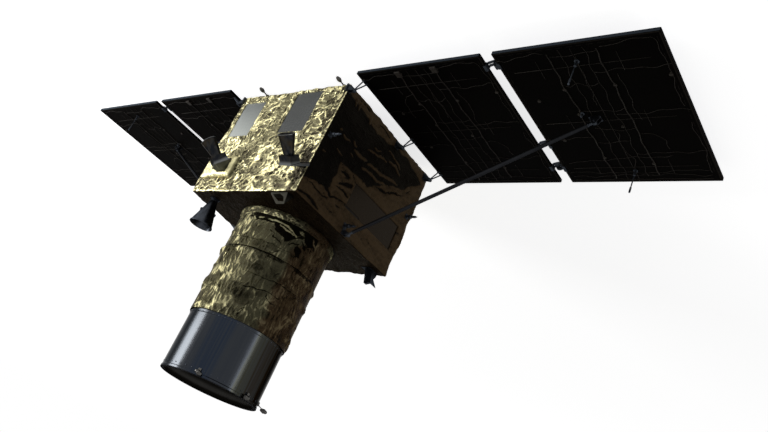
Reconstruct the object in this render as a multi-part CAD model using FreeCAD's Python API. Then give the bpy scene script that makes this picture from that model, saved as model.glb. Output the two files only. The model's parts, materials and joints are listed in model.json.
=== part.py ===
"""Earth-watching satellite with a telescope and two folding solar wings.

Millimetres, +Z up. The satellite stands on its separation ring: the origin is the
centre of the ring's lower face, the telescope looks up along +Z, the wings lie along
X, and the star trackers are on the -Y side. "left" is the +X wing, "right" the -X one.
"""
import FreeCAD, Part
import math
import os
from FreeCAD import Vector as V

X, Y, Z = V(1, 0, 0), V(0, 1, 0), V(0, 0, 1)

# --- driving dimensions ---------------------------------------------------------------
BUS_X = 900.0            # over the foil
BUS_Y = 860.0
BUS_Z = 718.0
FOIL = 9.0               # thickness of the foil blankets
WALL = 20.0              # honeycomb panels of the bus
CORNER_GAP = 1.0         # between two blankets at a corner
FIT = 0.3                # between pieces that fit but don't press

RING_H = 90.0
RING_PCD = 600.0
RING_BOLTS = 24
RING_HOLE_R = 4.5
RING_FLANGE = 8.0
RING_WEB = 6.0
RING_EDGE = 18.0         # from the bolt circle to the flange's rim

BARREL_R = 279.0         # over the foil wrap
BARREL_WRAP = 10.0
COLLAR_BULGE = 16.0      # bunched foil at the barrel's foot, past the wrap
TUBE_WALL = 6.0
WRAP_H = 644.0           # foil-wrapped length above the bus
BARREL_H = 976.0         # whole length above the bus
SHADE_WALL = 3.0
SHADE_OUT = 6.0          # the sunshade stands out from the tube
SHADE_SEAM = 24.0        # overlap of the shade and the tube
LIP_WIDTH = 18.0
LIP_H = 16.0
LIP_OUT = 3.0
MIRROR_CLEARANCE = 28.0  # mirror's rim to the tube
MIRROR_T = 46.0
MIRROR_SAG = 26.0        # depth of its hollow face
MIRROR_HOLE_R = 52.0
BAFFLE_Z = (700.0, 790.0, 880.0)                 # above the bus
SPIDER_Z = 560.0         # above the bus
HUB_R = 62.0
VANE_T = 5.0
VANE_H = 46.0

PANEL_L = 777.0          # along X
PANEL_W = 1000.0         # along Y
PANEL_T = 17.0
ROOT_GAP = 93.0          # bus to inner panel
MID_GAP = 66.0           # inner panel to outer panel
PANEL_RISE = 2.0         # rear face above the bus's lower face
STOWED_GAP = 94.0        # bus to the folded inner panel
FOLD_DROP = 14.0         # middle hinge pin below the cells

ROOT_STATIONS = (-427.0, 74.0, 394.0)
MID_STATIONS = (-417.0, 189.0, 373.0)
PULLEY_STATION = MID_STATIONS[2]
DRUM_R = 12.0            # spring drum on the first middle hinge
DRUM_L = 27.0

STUB_SPOTS = ((-394.0, 326.0), (-22.0, BUS_Z - 56.0), (389.0, 326.0))   # y, height on the bus
STUB_L = 80.0
ROOT_PIN_R = 5.0
ROOT_LUG = 14.0
MID_PIN_R = 4.0
MID_LUG = 12.0
ROD_SPOTS = ((416.0, -391.0), (416.0, 404.0))    # from the middle hinge pin, y
ROD_L = 137.0
SHORT_STUD = (307.0, -50.0, 24.0)                # from the middle hinge pin, y, length

STRUT_Y = -8.0
STRUT_R = 10.0
STRUT_WALL = 1.5
STRUT_FOOT = (34.0, 10.0)                        # out from the bus, down from its top
STRUT_EYE_R = 12.0
STRUT_EYE_T = 14.0
STRUT_PIN_R = 5.0
CATCH_OUT = 359.0                                # from the middle hinge pin
CATCH_H = 24.0                                   # pin over the panel's rear face
CATCH_TILT = 56.0                                # the way the strut lifts out, degrees

FRONT_RADIATORS = ((225.0, 414.0, 54.0, 315.0), (-248.0, -36.0, 22.0, 310.0))  # x, height
SIDE_RADIATOR = (-81.0, 360.0, BUS_Z - 302.0, BUS_Z - 142.0)                   # y, height
RADIATOR_T = 4.0

TRACKER_BOX = (86.0, 63.0, 50.0)                 # across, deep, tall
TRACKER_SHADE_L = 106.0
TRACKER_MOUTH_R = 45.5
TRACKER_NECK_R = 27.0
TRACKER_SHADE_WALL = 2.0
TRACKER_PLEATS = 16                              # flat faces round the shade
# foot: x, out from the bus, down from its top; where it looks; the box's long way; and how
# far its bracket's root sits below its seat for each millimetre out
TRACKERS = ((237.0, 43.0, 159.0, V(0.51, -0.61, -0.606), V(0.285, -0.512, 0.81), 0.0),
            (-404.0, 72.0, 114.0, V(-0.09, -0.735, -0.672), X, 0.75))
SKIRT_RISE = 24.0                                # foil-covered pyramid round the left one
SKIRT_X = (166.0, 440.0)
SKIRT_DOWN = (240.0, 96.0)                       # from the top of the bus

HORN_SPOT = (306.0, -349.0)
HORN_H = 180.0                                   # mouth above the bus
HORN_MOUTH_R = 66.0
HORN_ROOT_R = 21.0
HORN_LUG_TURN = 31.0                             # the way the lugs' bosses point, degrees
HORN_LUG_R = 9.0

BRACKET_T = 3.0                                  # sheet of the two brackets on the nadir face
BRACKET_LEAN = 17.0                              # the back one leans outwards, degrees

EGG_R = 9.0                                      # small egg-shaped sensors
EGG_L = 34.0
SHADE_EGG_L = 40.0
# sensors at the sunshade's mouth: turn of the foot, then where the egg is: turn, how far
# out from the shade, depth below the mouth, and which way it points: turn and rise
SHADE_EGGS = ((-126.0, -126.7, 18.0, 14.0, 145.0, 14.0),
              (174.0, 177.6, 22.2, 12.0, 149.5, 6.0),
              (141.0, 129.5, 42.4, 14.0, 131.0, 6.0))

# --- sizes that follow ----------------------------------------------------------------
BUS_BOTTOM = RING_H
BUS_TOP = RING_H + BUS_Z
SIDE_X = BUS_X / 2 - FOIL                        # outer face of the honeycomb
SIDE_Y = BUS_Y / 2 - FOIL
DECK_BOTTOM = BUS_BOTTOM + FOIL
DECK_TOP = BUS_TOP - FOIL
COLLAR_R = BARREL_R + COLLAR_BULGE
TUBE_R = BARREL_R - BARREL_WRAP
TUBE_IN = TUBE_R - TUBE_WALL
SHADE_R = TUBE_R + SHADE_OUT
MIRROR_R = TUBE_IN - MIRROR_CLEARANCE
WRAP_TOP = BUS_TOP + WRAP_H
MOUTH_Z = BUS_TOP + BARREL_H
BENCH_TOP = DECK_BOTTOM + WALL + 340.0           # the telescope's bench inside the bus

REAR_Z = BUS_BOTTOM + PANEL_RISE
CELL_Z = REAR_Z - PANEL_T
ROOT_X = BUS_X / 2 + ROOT_GAP / 2
ROOT_Z = REAR_Z + STOWED_GAP - ROOT_GAP / 2
INNER_X = BUS_X / 2 + ROOT_GAP
MID_X = INNER_X + PANEL_L + MID_GAP / 2
MID_Z = CELL_Z - FOLD_DROP
OUTER_X = MID_X + MID_GAP / 2
FOOT_X = BUS_X / 2 + STRUT_FOOT[0]
FOOT_Z = BUS_TOP - STRUT_FOOT[1]
CATCH_X = MID_X + CATCH_OUT
CATCH_Z = REAR_Z + CATCH_H

NODES = {}


# --- shape helpers --------------------------------------------------------------------
def block(x0, x1, y0, y1, z0, z1):
    """A box between two corners."""
    return Part.makeBox(x1 - x0, y1 - y0, z1 - z0, V(x0, y0, z0))


def rod(base, axis, radius, length):
    return Part.makeCylinder(radius, length, base, axis)


def pipe(base, axis, outer, inner, length):
    return rod(base, axis, outer, length).cut(rod(base, axis, inner, length))


def bar(start, end, radius):
    """A round bar from one point to another."""
    run = end.sub(start)
    return rod(start, run, radius, run.Length)


def polar(turn, radius, height=0.0):
    """The point at a turn about +Z, in degrees, and a radius from it."""
    angle = math.radians(turn)
    return V(radius * math.cos(angle), radius * math.sin(angle), height)


def egg(centre, axis, length):
    """A ball drawn out to a smaller ball at each end of its axis."""
    tip = EGG_R * 0.55
    reach = length / 2 - tip
    lean = math.asin((EGG_R - tip) / reach)
    steep = (lean + math.pi / 2) / 2

    def on(radius, height, angle):
        return V(radius * math.cos(angle), 0, height + radius * math.sin(angle))

    low = [on(tip, -reach, -angle) for angle in (math.pi / 2, steep, lean)]
    mid = [on(EGG_R, 0, angle) for angle in (-lean, 0, lean)]
    high = [on(tip, reach, angle) for angle in (lean, steep, math.pi / 2)]
    edges = [Part.Arc(*low).toShape(), Part.makeLine(low[2], mid[0]), Part.Arc(*mid).toShape(),
             Part.makeLine(mid[2], high[0]), Part.Arc(*high).toShape(),
             Part.makeLine(high[2], low[0])]
    solid = Part.Face(Part.Wire(edges)).revolve(V(0, 0, 0), Z, 360)
    return placed(solid, centre, axis)


def turned(profile, base=V(0, 0, 0), axis=Z):
    """A turned piece: (radius, height) points spun about the axis through base."""
    points = [V(r, 0, h) for r, h in profile]
    face = Part.Face(Part.makePolygon(points + points[:1]))
    solid = face.revolve(V(0, 0, 0), Z, 360)
    return placed(solid, base, axis)


def placed(shape, base, axis, across=None):
    """Stand a shape made along +Z at base, so that its +Z points along axis."""
    up = V(axis).normalize()
    side = V(across) if across else (V(Y) if abs(up.y) < 0.9 else V(X))
    side = side.sub(V(up).multiply(side.dot(up))).normalize()
    other = side.cross(up).normalize()
    matrix = FreeCAD.Matrix(other.x, side.x, up.x, base.x,
                            other.y, side.y, up.y, base.y,
                            other.z, side.z, up.z, base.z,
                            0, 0, 0, 1)
    return shape.transformed(matrix)


def extruded(points, run):
    """A flat outline pushed along run."""
    return Part.Face(Part.makePolygon(list(points) + [points[0]])).extrude(run)


def fused(first, *others):
    return first.fuse(list(others)).removeSplitter()


def link(start, r0, end, r1, y0, thickness):
    """A tapered arm in the XZ plane between two round ends, given as (x, z) centres."""
    a, b = V(start[0], y0, start[1]), V(end[0], y0, end[1])
    along = b.sub(a)
    reach = along.Length
    along.normalize()
    across = V(-along.z, 0, along.x)
    lean = math.acos((r0 - r1) / reach)
    outline = []
    for centre, radius, sign in ((a, r0, 1), (b, r1, 1), (b, r1, -1), (a, r0, -1)):
        normal = V(along).multiply(math.cos(lean)).add(V(across).multiply(sign * math.sin(lean)))
        outline.append(centre.add(normal.multiply(radius)))
    run = V(0, thickness, 0)
    return fused(extruded(outline, run), rod(a, Y, r0, thickness), rod(b, Y, r1, thickness))


def group(solids):
    return Part.makeCompound(list(solids))


def mirrored(shape):
    return shape.mirror(V(0, 0, 0), X)


def both_sides(shape):
    """One solid on the +X side and its twin on the -X side."""
    return [shape, mirrored(shape)]


# --- bus ------------------------------------------------------------------------------
def separation_ring():
    inner = RING_PCD / 2 - RING_EDGE - RING_WEB
    outer = RING_PCD / 2 + RING_EDGE
    lip = RING_FLANGE / 2
    ring = turned(((inner, 0), (outer, 0), (outer, RING_FLANGE - 2), (outer - 2, RING_FLANGE),
                   (inner + RING_WEB + lip, RING_FLANGE), (inner + RING_WEB, RING_FLANGE + lip),
                   (inner + RING_WEB, RING_H + FOIL - RING_FLANGE - lip),
                   (inner + RING_WEB + lip, RING_H + FOIL - RING_FLANGE),
                   (outer - lip, RING_H + FOIL - RING_FLANGE), (outer - lip, RING_H + FOIL),
                   (inner, RING_H + FOIL)))
    holes = []
    for i in range(RING_BOLTS):
        angle = 2 * math.pi * i / RING_BOLTS
        spot = V(RING_PCD / 2 * math.cos(angle), RING_PCD / 2 * math.sin(angle), -1)
        holes.append(rod(spot, Z, RING_HOLE_R, RING_FLANGE + 2))
    NODES["separation_ring"] = ring.cut(holes)


def bus_panels():
    """Six honeycomb panels; the nadir one is open for the telescope."""
    low, high = DECK_BOTTOM + WALL, DECK_TOP - WALL
    inside_x = SIDE_X - WALL
    NODES["zenith_panel"] = block(-SIDE_X, SIDE_X, -SIDE_Y, SIDE_Y, DECK_BOTTOM, low)
    nadir = block(-SIDE_X, SIDE_X, -SIDE_Y, SIDE_Y, high, DECK_TOP)
    NODES["nadir_panel"] = nadir.cut(rod(V(0, 0, high - 1), Z, TUBE_R + 6, WALL + 2))
    NODES["side_panel_left"] = block(inside_x, SIDE_X, -SIDE_Y, SIDE_Y, low, high)
    NODES["side_panel_right"] = mirrored(NODES["side_panel_left"])
    front = block(-inside_x, inside_x, -SIDE_Y, -SIDE_Y + WALL, low, high)
    NODES["side_panel_front"] = front
    NODES["side_panel_back"] = front.mirror(V(0, 0, 0), Y)
    NODES["equipment_block"] = block(-250, 250, -240, 240, low, BENCH_TOP)


def radiator_windows(margin):
    """The radiators' boxes, grown sideways by margin: two front, two back, one each end."""
    boxes = []
    for x0, x1, z0, z1 in FRONT_RADIATORS:
        box = block(x0 - margin, x1 + margin, -SIDE_Y - RADIATOR_T, -SIDE_Y,
                    BUS_BOTTOM + z0 - margin, BUS_BOTTOM + z1 + margin)
        boxes += [box, box.mirror(V(0, 0, 0), Y)]
    y0, y1, z0, z1 = SIDE_RADIATOR
    notch = 12.0
    side = block(SIDE_X, SIDE_X + RADIATOR_T, y0 - margin, y1 + margin,
                 BUS_BOTTOM + z0 - margin, BUS_BOTTOM + z1 + margin)
    corner = block(SIDE_X - 1, SIDE_X + RADIATOR_T + 1, y0 - margin - 1, y0 + 130 - margin,
                   BUS_BOTTOM + z1 - notch + margin, BUS_BOTTOM + z1 + margin + 1)
    return boxes + both_sides(side.cut(corner))


def radiator_openings():
    """Windows in the foil, a little larger than the radiators and right through it."""
    openings = []
    for window in radiator_windows(2.0):
        b = window.BoundBox
        openings.append(block(b.XMin - (b.XMax - b.XMin < FOIL) * FOIL,
                              b.XMax + (b.XMax - b.XMin < FOIL) * FOIL,
                              b.YMin - (b.YMax - b.YMin < FOIL) * FOIL,
                              b.YMax + (b.YMax - b.YMin < FOIL) * FOIL, b.ZMin, b.ZMax))
    return openings


def foil_blankets(openings):
    """Six foil blankets over the panels, cut back around what stands on the bus."""
    x, y = BUS_X / 2, BUS_Y / 2
    gap = CORNER_GAP
    left = block(SIDE_X, x, -SIDE_Y, SIDE_Y, DECK_BOTTOM, DECK_TOP)
    front = block(-SIDE_X, SIDE_X, -y, -SIDE_Y, DECK_BOTTOM, DECK_TOP)
    zenith = block(-x + gap, x - gap, -y + gap, y - gap, BUS_BOTTOM, DECK_BOTTOM)
    zenith = zenith.cut(rod(V(0, 0, BUS_BOTTOM - 1), Z, RING_PCD / 2 + RING_EDGE + 4, FOIL + 2))
    nadir = block(-x + gap, x - gap, -y + gap, y - gap, DECK_TOP, BUS_TOP)
    nadir = nadir.cut(rod(V(0, 0, DECK_TOP - 1), Z, COLLAR_R + 2, FOIL + 2))
    sheets = [left, mirrored(left), front, front.mirror(V(0, 0, 0), Y), zenith, nadir]
    NODES["foil_blankets"] = group(sheet.cut(openings) for sheet in sheets)


# --- telescope ------------------------------------------------------------------------
def telescope():
    seam = WRAP_TOP + SHADE_SEAM
    tube = pipe(V(0, 0, BENCH_TOP), Z, TUBE_R, TUBE_IN, seam - BENCH_TOP)
    foot = pipe(V(0, 0, BENCH_TOP), Z, TUBE_R + 14, TUBE_IN, 12)
    NODES["telescope_tube"] = fused(tube, foot)

    ridge = BARREL_WRAP
    wrap_foot = BUS_TOP + 40.0
    NODES["barrel_wrap"] = pipe(V(0, 0, wrap_foot), Z, BARREL_R, TUBE_R + FIT,
                                WRAP_TOP - wrap_foot)
    NODES["barrel_collar"] = turned(
        ((TUBE_R + FIT, DECK_TOP + FIT), (TUBE_R + 24, DECK_TOP + FIT),
         (COLLAR_R, BUS_TOP + 6), (COLLAR_R - 1, BUS_TOP + 20),
         (BARREL_R + 4, BUS_TOP + 34), (TUBE_R + FIT, wrap_foot - FIT)))

    lip_z = MOUTH_Z - 4.0
    shade_in = SHADE_R - SHADE_WALL
    shade = turned(((TUBE_R + FIT, WRAP_TOP + FIT), (TUBE_R + ridge - 2, WRAP_TOP + FIT),
                    (TUBE_R + ridge - 2, WRAP_TOP + 14), (SHADE_R, WRAP_TOP + 18),
                    (SHADE_R, MOUTH_Z - LIP_H), (SHADE_R + LIP_OUT, MOUTH_Z - LIP_H + 4),
                    (SHADE_R + LIP_OUT, MOUTH_Z), (SHADE_R - LIP_WIDTH, MOUTH_Z),
                    (SHADE_R - LIP_WIDTH, lip_z), (shade_in, lip_z),
                    (shade_in, seam + 10), (TUBE_R + FIT, seam + 6)))
    NODES["sunshade"] = shade

    vane_in = TUBE_IN - 14
    vanes = []
    for height in BAFFLE_Z:
        z = BUS_TOP + height
        outer = shade_in - FIT
        vanes.append(turned(((outer, z), (outer, z + 14), (outer - 2, z + 14), (outer - 2, z + 2),
                             (vane_in, z + 2), (vane_in, z))))
    NODES["shade_baffles"] = group(vanes)

    ball_r = (MIRROR_R ** 2 + MIRROR_SAG ** 2) / (2 * MIRROR_SAG)
    base = BENCH_TOP
    mirror = pipe(V(0, 0, base), Z, MIRROR_R, MIRROR_HOLE_R, MIRROR_T)
    ball = Part.makeSphere(ball_r, V(0, 0, base + MIRROR_T - MIRROR_SAG + ball_r))
    NODES["primary_mirror"] = mirror.cut(ball)

    snout_foot, snout_top = MIRROR_HOLE_R - FIT, 30.0
    NODES["inner_baffle"] = turned(
        ((snout_foot - 3, base), (snout_foot, base), (snout_foot, base + MIRROR_T),
         (snout_top, base + 300), (snout_top - 3, base + 300), (snout_foot - 3, base + MIRROR_T)))

    hub_z = BUS_TOP + SPIDER_Z
    ring_out = TUBE_IN - FIT
    spider = [pipe(V(0, 0, hub_z), Z, ring_out, ring_out - 5, VANE_H),
              pipe(V(0, 0, hub_z), Z, HUB_R, HUB_R - 5, VANE_H)]
    for turn in (45, 135, 225, 315):
        vane = block(HUB_R - 3, ring_out - 3, -VANE_T / 2, VANE_T / 2, hub_z, hub_z + VANE_H)
        vane.rotate(V(0, 0, 0), Z, turn)
        spider.append(vane)
    NODES["mirror_spider"] = fused(*spider)
    NODES["secondary_mirror"] = turned(
        ((0, hub_z - 22), (HUB_R - 10, hub_z - 16), (HUB_R - 5 - FIT, hub_z - 16),
         (HUB_R - 5 - FIT, hub_z + VANE_H - 6), (HUB_R - 12, hub_z + VANE_H),
         (0, hub_z + VANE_H)))


# --- what stands on the bus -----------------------------------------------------------
def tracker(foot, look, across):
    """Camera box and pleated shade of a star tracker whose base centre is foot."""
    wide, deep, tall = TRACKER_BOX
    flange = 4.0
    collar = 4.0
    box = fused(block(-deep / 2, deep / 2, -wide / 2 - 8, wide / 2 + 8, 0, flange),
                block(-deep / 2, deep / 2, -wide / 2, wide / 2, flange, tall),
                rod(V(0, 0, tall), Z, TRACKER_NECK_R - 1, collar))
    neck = tall + collar
    mouth = neck + TRACKER_SHADE_L
    outside = pleated(TRACKER_NECK_R, neck, TRACKER_MOUTH_R, mouth)
    inside = pleated(TRACKER_NECK_R - TRACKER_SHADE_WALL, neck,
                     TRACKER_MOUTH_R - TRACKER_SHADE_WALL, mouth)
    rim = pipe(V(0, 0, mouth - 3), Z, TRACKER_MOUTH_R + 1, TRACKER_MOUTH_R - 4, 3)
    shade = fused(outside.cut(inside), rim)
    return placed(box, foot, look, across), placed(shade, foot, look, across)


def pleated(r0, z0, r1, z1):
    """A cone with flat faces all round, from radius r0 at z0 to r1 at z1."""
    rings = []
    for radius, z in ((r0, z0), (r1, z1)):
        points = []
        for i in range(TRACKER_PLEATS + 1):
            turn = 2 * math.pi * i / TRACKER_PLEATS
            points.append(V(radius * math.cos(turn), radius * math.sin(turn), z))
        points[-1] = points[0]
        rings.append(Part.makePolygon(points))
    return Part.makeLoft(rings, True, True)


def star_trackers():
    """Two trackers that look down and outwards from the front of the bus."""
    wide, deep, _ = TRACKER_BOX
    boxes, shades, brackets = [], [], []
    for x, out, down, look, across, rake in TRACKERS:
        foot = V(x, -BUS_Y / 2 - out, BUS_TOP - down)
        box, shade = tracker(foot, look, across)
        boxes.append(box)
        shades.append(shade)
        seat = Part.makePolygon([V(sx * deep / 2, sy * wide / 2, -FIT / 3)
                                 for sx, sy in ((1, 1), (-1, 1), (-1, -1), (1, -1), (1, 1))])
        top = [v.Point for v in placed(seat, foot, look, across).Vertexes[:4]]
        low = [V(p.x, -SIDE_Y, p.z - rake * (-SIDE_Y - p.y)) for p in top]
        brackets.append(between(top, low))
    NODES["star_tracker_boxes"] = group(boxes)
    NODES["star_tracker_shades"] = group(shades)
    NODES["star_tracker_brackets"] = group(brackets)
    NODES["star_tracker_skirt"] = tracker_skirt(brackets[0], boxes[0])


def tracker_skirt(bracket, box):
    """Low foil-covered pyramid round the foot of the left tracker."""
    edge, gap = 8.0, 1.0
    x0, x1 = SKIRT_X
    z0, z1 = BUS_TOP - SKIRT_DOWN[0], BUS_TOP - SKIRT_DOWN[1]
    y = -BUS_Y / 2 - SKIRT_RISE
    slab = block(-BUS_X, BUS_X, y, 0, 0, 2 * BUS_TOP)
    b = group([bracket.common(slab), box.common(slab)]).BoundBox
    low = [V(x0, -SIDE_Y, z0), V(x1, -SIDE_Y, z0), V(x1, -SIDE_Y, z1), V(x0, -SIDE_Y, z1)]
    top = [V(b.XMin - edge, y, b.ZMin - edge), V(b.XMax + edge, y, b.ZMin - edge),
           V(b.XMax + edge, y, b.ZMax + edge), V(b.XMin - edge, y, b.ZMax + edge)]
    hole = block(b.XMin - gap, b.XMax + gap, -BUS_Y, 0, b.ZMin - gap, b.ZMax + gap)
    return between(top, low).cut(hole)


def between(top, low):
    """A solid with four flat sides between two four-cornered faces."""
    faces = []
    for ring in (top, low):
        for corners in ((ring[0], ring[1], ring[2]), (ring[0], ring[2], ring[3])):
            faces.append(Part.Face(Part.makePolygon(list(corners) + [corners[0]])))
    for i in range(4):
        j = (i + 1) % 4
        for corners in ((low[i], low[j], top[j]), (low[i], top[j], top[i])):
            faces.append(Part.Face(Part.makePolygon(list(corners) + [corners[0]])))
    solid = Part.Solid(Part.makeShell(faces)).removeSplitter()
    return solid if solid.Volume > 0 else solid.reversed()


def horn_antenna():
    """Flared horn over the nadir face, on its own small plinth."""
    x, y = HORN_SPOT
    base = DECK_TOP
    foot = base + FOIL + 4
    root = foot + 14.0
    top = BUS_TOP + HORN_H
    wall = 2.0
    NODES["horn_plinth"] = fused(block(x - 25, x + 25, y - 23, y + 23, base, foot - 2),
                                 rod(V(x, y, base), Z, HORN_ROOT_R + 5, foot - base))
    horn = turned(((0, foot), (HORN_ROOT_R + 2, foot), (HORN_ROOT_R + 2, foot + 4),
                   (HORN_ROOT_R, foot + 5), (HORN_ROOT_R, root), (HORN_MOUTH_R, top - 6),
                   (HORN_MOUTH_R + 3, top - 6), (HORN_MOUTH_R + 3, top),
                   (HORN_MOUTH_R - wall, top), (HORN_ROOT_R - wall, root + 6), (0, root + 6)),
                  V(x, y, 0))
    core = turned(((0, foot), (HORN_ROOT_R - 1, foot), (HORN_ROOT_R - 1, root),
                   (HORN_MOUTH_R - 1, top), (0, top)), V(x, y, 0))
    flare = (HORN_MOUTH_R - HORN_ROOT_R) / (top - 6 - root)
    lug_z = foot + 0.5 * (top - foot)
    lug_out = HORN_ROOT_R + flare * (lug_z - root) - 2
    along = polar(HORN_LUG_TURN, 1.0)
    for side in (-90.0, 90.0):
        spot = V(x, y, lug_z).add(polar(HORN_LUG_TURN + side, lug_out))
        lug = rod(spot.sub(V(along).multiply(6)), along, HORN_LUG_R, 12)
        horn = fused(horn, lug.cut(core))
    tap_z = top - 22.0
    tap_out = HORN_ROOT_R + flare * (tap_z - root)
    out = polar(173.0, 1.0)
    tap = rod(V(x, y, tap_z).add(V(out).multiply(tap_out - 8)), out, 5, 12)
    NODES["horn_antenna"] = fused(horn, tap.cut(core))


def nadir_brackets():
    """Gusseted frame and leaning Z-section near two corners of the nadir face."""
    base = DECK_TOP
    t = BRACKET_T
    x0, x1, y0, y1 = -382.0, -255.0, -418.0, -369.0
    rise = BUS_TOP + 72
    foot = block(x0, x1, y0, y1, base, BUS_TOP + t)
    sheet = extruded([V(x0, y0, base), V(x1, y0, base), V(x1, y0, BUS_TOP + 6),
                      V(-341, y0, rise), V(-402, y0, rise)], V(0, t, 0))
    window = extruded([V(-275, y0 - 1, BUS_TOP + 11), V(-330, y0 - 1, BUS_TOP + 8),
                       V(-371, y0 - 1, BUS_TOP + 28), V(-388, y0 - 1, BUS_TOP + 58),
                       V(-343, y0 - 1, BUS_TOP + 54)], V(0, t + 2, 0))
    gusset = extruded([V(x0, y0, base), V(x0 - 8, y1, base), V(-402, y0, rise)], V(t, 0, 0))
    NODES["nadir_bracket_front"] = fused(foot, sheet.cut(window), gusset)

    x0, y0, tall = -398.0, 357.0, 100.0
    front, back = y0 - 29, y0 + 55
    foot = block(x0 - 4, x0 + 62, front, back, base, BUS_TOP + t)
    web = extruded([V(x0, y0, base), V(x0 + 30, y0, base), V(x0 + 28, y0, base + tall),
                    V(x0, y0, base + tall)], V(0, t, 0))
    flange = extruded([V(x0 + 28, y0 + t, base), V(x0 + 28, front, base),
                       V(x0 + 28, y0 - 21, base + tall + 3),
                       V(x0 + 28, y0 + t, base + tall + 3)], V(t, 0, 0))
    fin = extruded([V(x0, y0, base), V(x0, back, base), V(x0, back - 13, base + 38),
                    V(x0, y0 + 24, base + 62), V(x0, y0 + 58, base + tall),
                    V(x0, y0, base + tall)], V(t, 0, 0))
    cap = block(x0, x0 + 28 + t, y0 - 12, y0 + t, base + tall, base + tall + t)
    upright = [web, flange, fin, cap]
    for sheet in upright:
        sheet.rotate(V(x0, y0, base), Y, -BRACKET_LEAN)
    NODES["nadir_bracket_back"] = fused(foot, *upright)


def edge_sensors():
    """Two small egg-shaped sensors on clips along the front lower edge."""
    sensors = []
    front = -BUS_Y / 2
    for x in (275.0, -378.0):
        shell = egg(V(x, front - 35, BUS_BOTTOM - 11), Y, EGG_L)
        stem = bar(V(x, front + 16, BUS_BOTTOM - 9), V(x, front - 24, BUS_BOTTOM - 11), 4)
        clip = block(x - 9, x + 9, front + 12, front + 30, BUS_BOTTOM - 15, DECK_BOTTOM)
        sensors.append(fused(shell, stem, clip))
    NODES["edge_sensors"] = group(sensors)


def shade_sensors():
    """Three egg-shaped sensors on thin stems round the sunshade's mouth."""
    sensors = []
    top = MOUTH_Z - LIP_H - LIP_OUT
    for foot_turn, turn, out, down, aim, rise in SHADE_EGGS:
        foot = block(SHADE_R - 3, SHADE_R + 9, -8, 8, top - 20, top)
        foot.rotate(V(0, 0, 0), Z, foot_turn)
        foot = foot.cut(rod(V(0, 0, top - 21), Z, SHADE_R + FIT, 22))
        centre = polar(turn, SHADE_R + out, MOUTH_Z - down)
        way = polar(aim, math.cos(math.radians(rise)), math.sin(math.radians(rise)))
        shell = egg(centre, way, SHADE_EGG_L)
        stem = bar(polar(foot_turn, SHADE_R + 5, top - 6), centre, 2.5)
        sensors.append(fused(shell, stem, foot))
    NODES["shade_sensors"] = group(sensors)


def hold_down_stubs():
    """Turned stand-offs that the folded wing rests on, on square foot plates."""
    stubs = []
    half = 15.0
    end = BUS_X / 2 + STUB_L
    for y, height in STUB_SPOTS:
        z = BUS_BOTTOM + height
        plate = block(SIDE_X, SIDE_X + FOIL, y - half, y + half, z - half, z + half)
        stub = turned(((0, SIDE_X), (10, SIDE_X), (10, SIDE_X + 18), (5.5, SIDE_X + 20),
                       (5.5, SIDE_X + 26), (12, SIDE_X + 28), (12, SIDE_X + 44),
                       (7.5, SIDE_X + 46), (7.5, end - 14), (3.5, end - 12),
                       (3.5, end - 1), (2.5, end), (0, end)), V(0, y, z), X)
        stubs += both_sides(fused(plate, stub))
    NODES["hold_down_stubs"] = group(stubs)


def strut_feet():
    """Clevis on each side of the bus; its pin carries the strut's lower eye."""
    inside = STRUT_EYE_T / 2 + 1.5
    ear = 5.0
    face = SIDE_X + FOIL + 3
    plate = block(SIDE_X, face, STRUT_Y - 22, STRUT_Y + 22, FOOT_Z - 26, FOOT_Z + 6)
    parts = [plate]
    for y in (STRUT_Y - inside - ear, STRUT_Y + inside):
        parts.append(link((face - 3, FOOT_Z - 10), 14, (FOOT_X, FOOT_Z), 9, y, ear))
    pin = rod(V(FOOT_X, STRUT_Y - inside - ear - 2, FOOT_Z), Y, STRUT_PIN_R, 2 * (inside + ear + 2))
    foot = fused(*parts, pin)
    keep = block(SIDE_X, BUS_X, -BUS_Y, BUS_Y, 0, 2 * BUS_TOP)
    NODES["strut_feet"] = group(both_sides(foot.common(keep)))


def root_hinge_brackets():
    """Clevises on the bus, low on its sides, with ears up to the wing's root pins."""
    inside, ear, pin_r = ROOT_LUG / 2 + 1.5, 5.0, ROOT_PIN_R
    face = SIDE_X + FOIL + 2
    foot_z = ROOT_Z - 16.0
    keep = block(SIDE_X, BUS_X, -BUS_Y, BUS_Y, 0, 2 * BUS_TOP)
    solids = []
    for y in ROOT_STATIONS:
        plate = block(SIDE_X, face, y - 19, y + 19, DECK_BOTTOM + 1, ROOT_Z + 4)
        pin = rod(V(ROOT_X, y - inside - ear - 2, ROOT_Z), Y, pin_r, 2 * (inside + ear + 2))
        ears = [link((face - 2, foot_z), 15, (ROOT_X, ROOT_Z), 8.5, at, ear)
                for at in (y - inside - ear, y + inside)]
        solids += both_sides(fused(plate, pin, *ears).common(keep))
    NODES["root_hinge_brackets"] = group(solids)


# --- wings, made for the +X side and mirrored -----------------------------------------
def wing_panel(x0):
    plate = block(x0, x0 + PANEL_L, -PANEL_W / 2, PANEL_W / 2, CELL_Z, REAR_Z)
    corners = [e for e in plate.Edges if abs(e.Vertexes[0].Z - e.Vertexes[1].Z) > PANEL_T / 2]
    return plate.makeFillet(4, corners)


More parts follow.
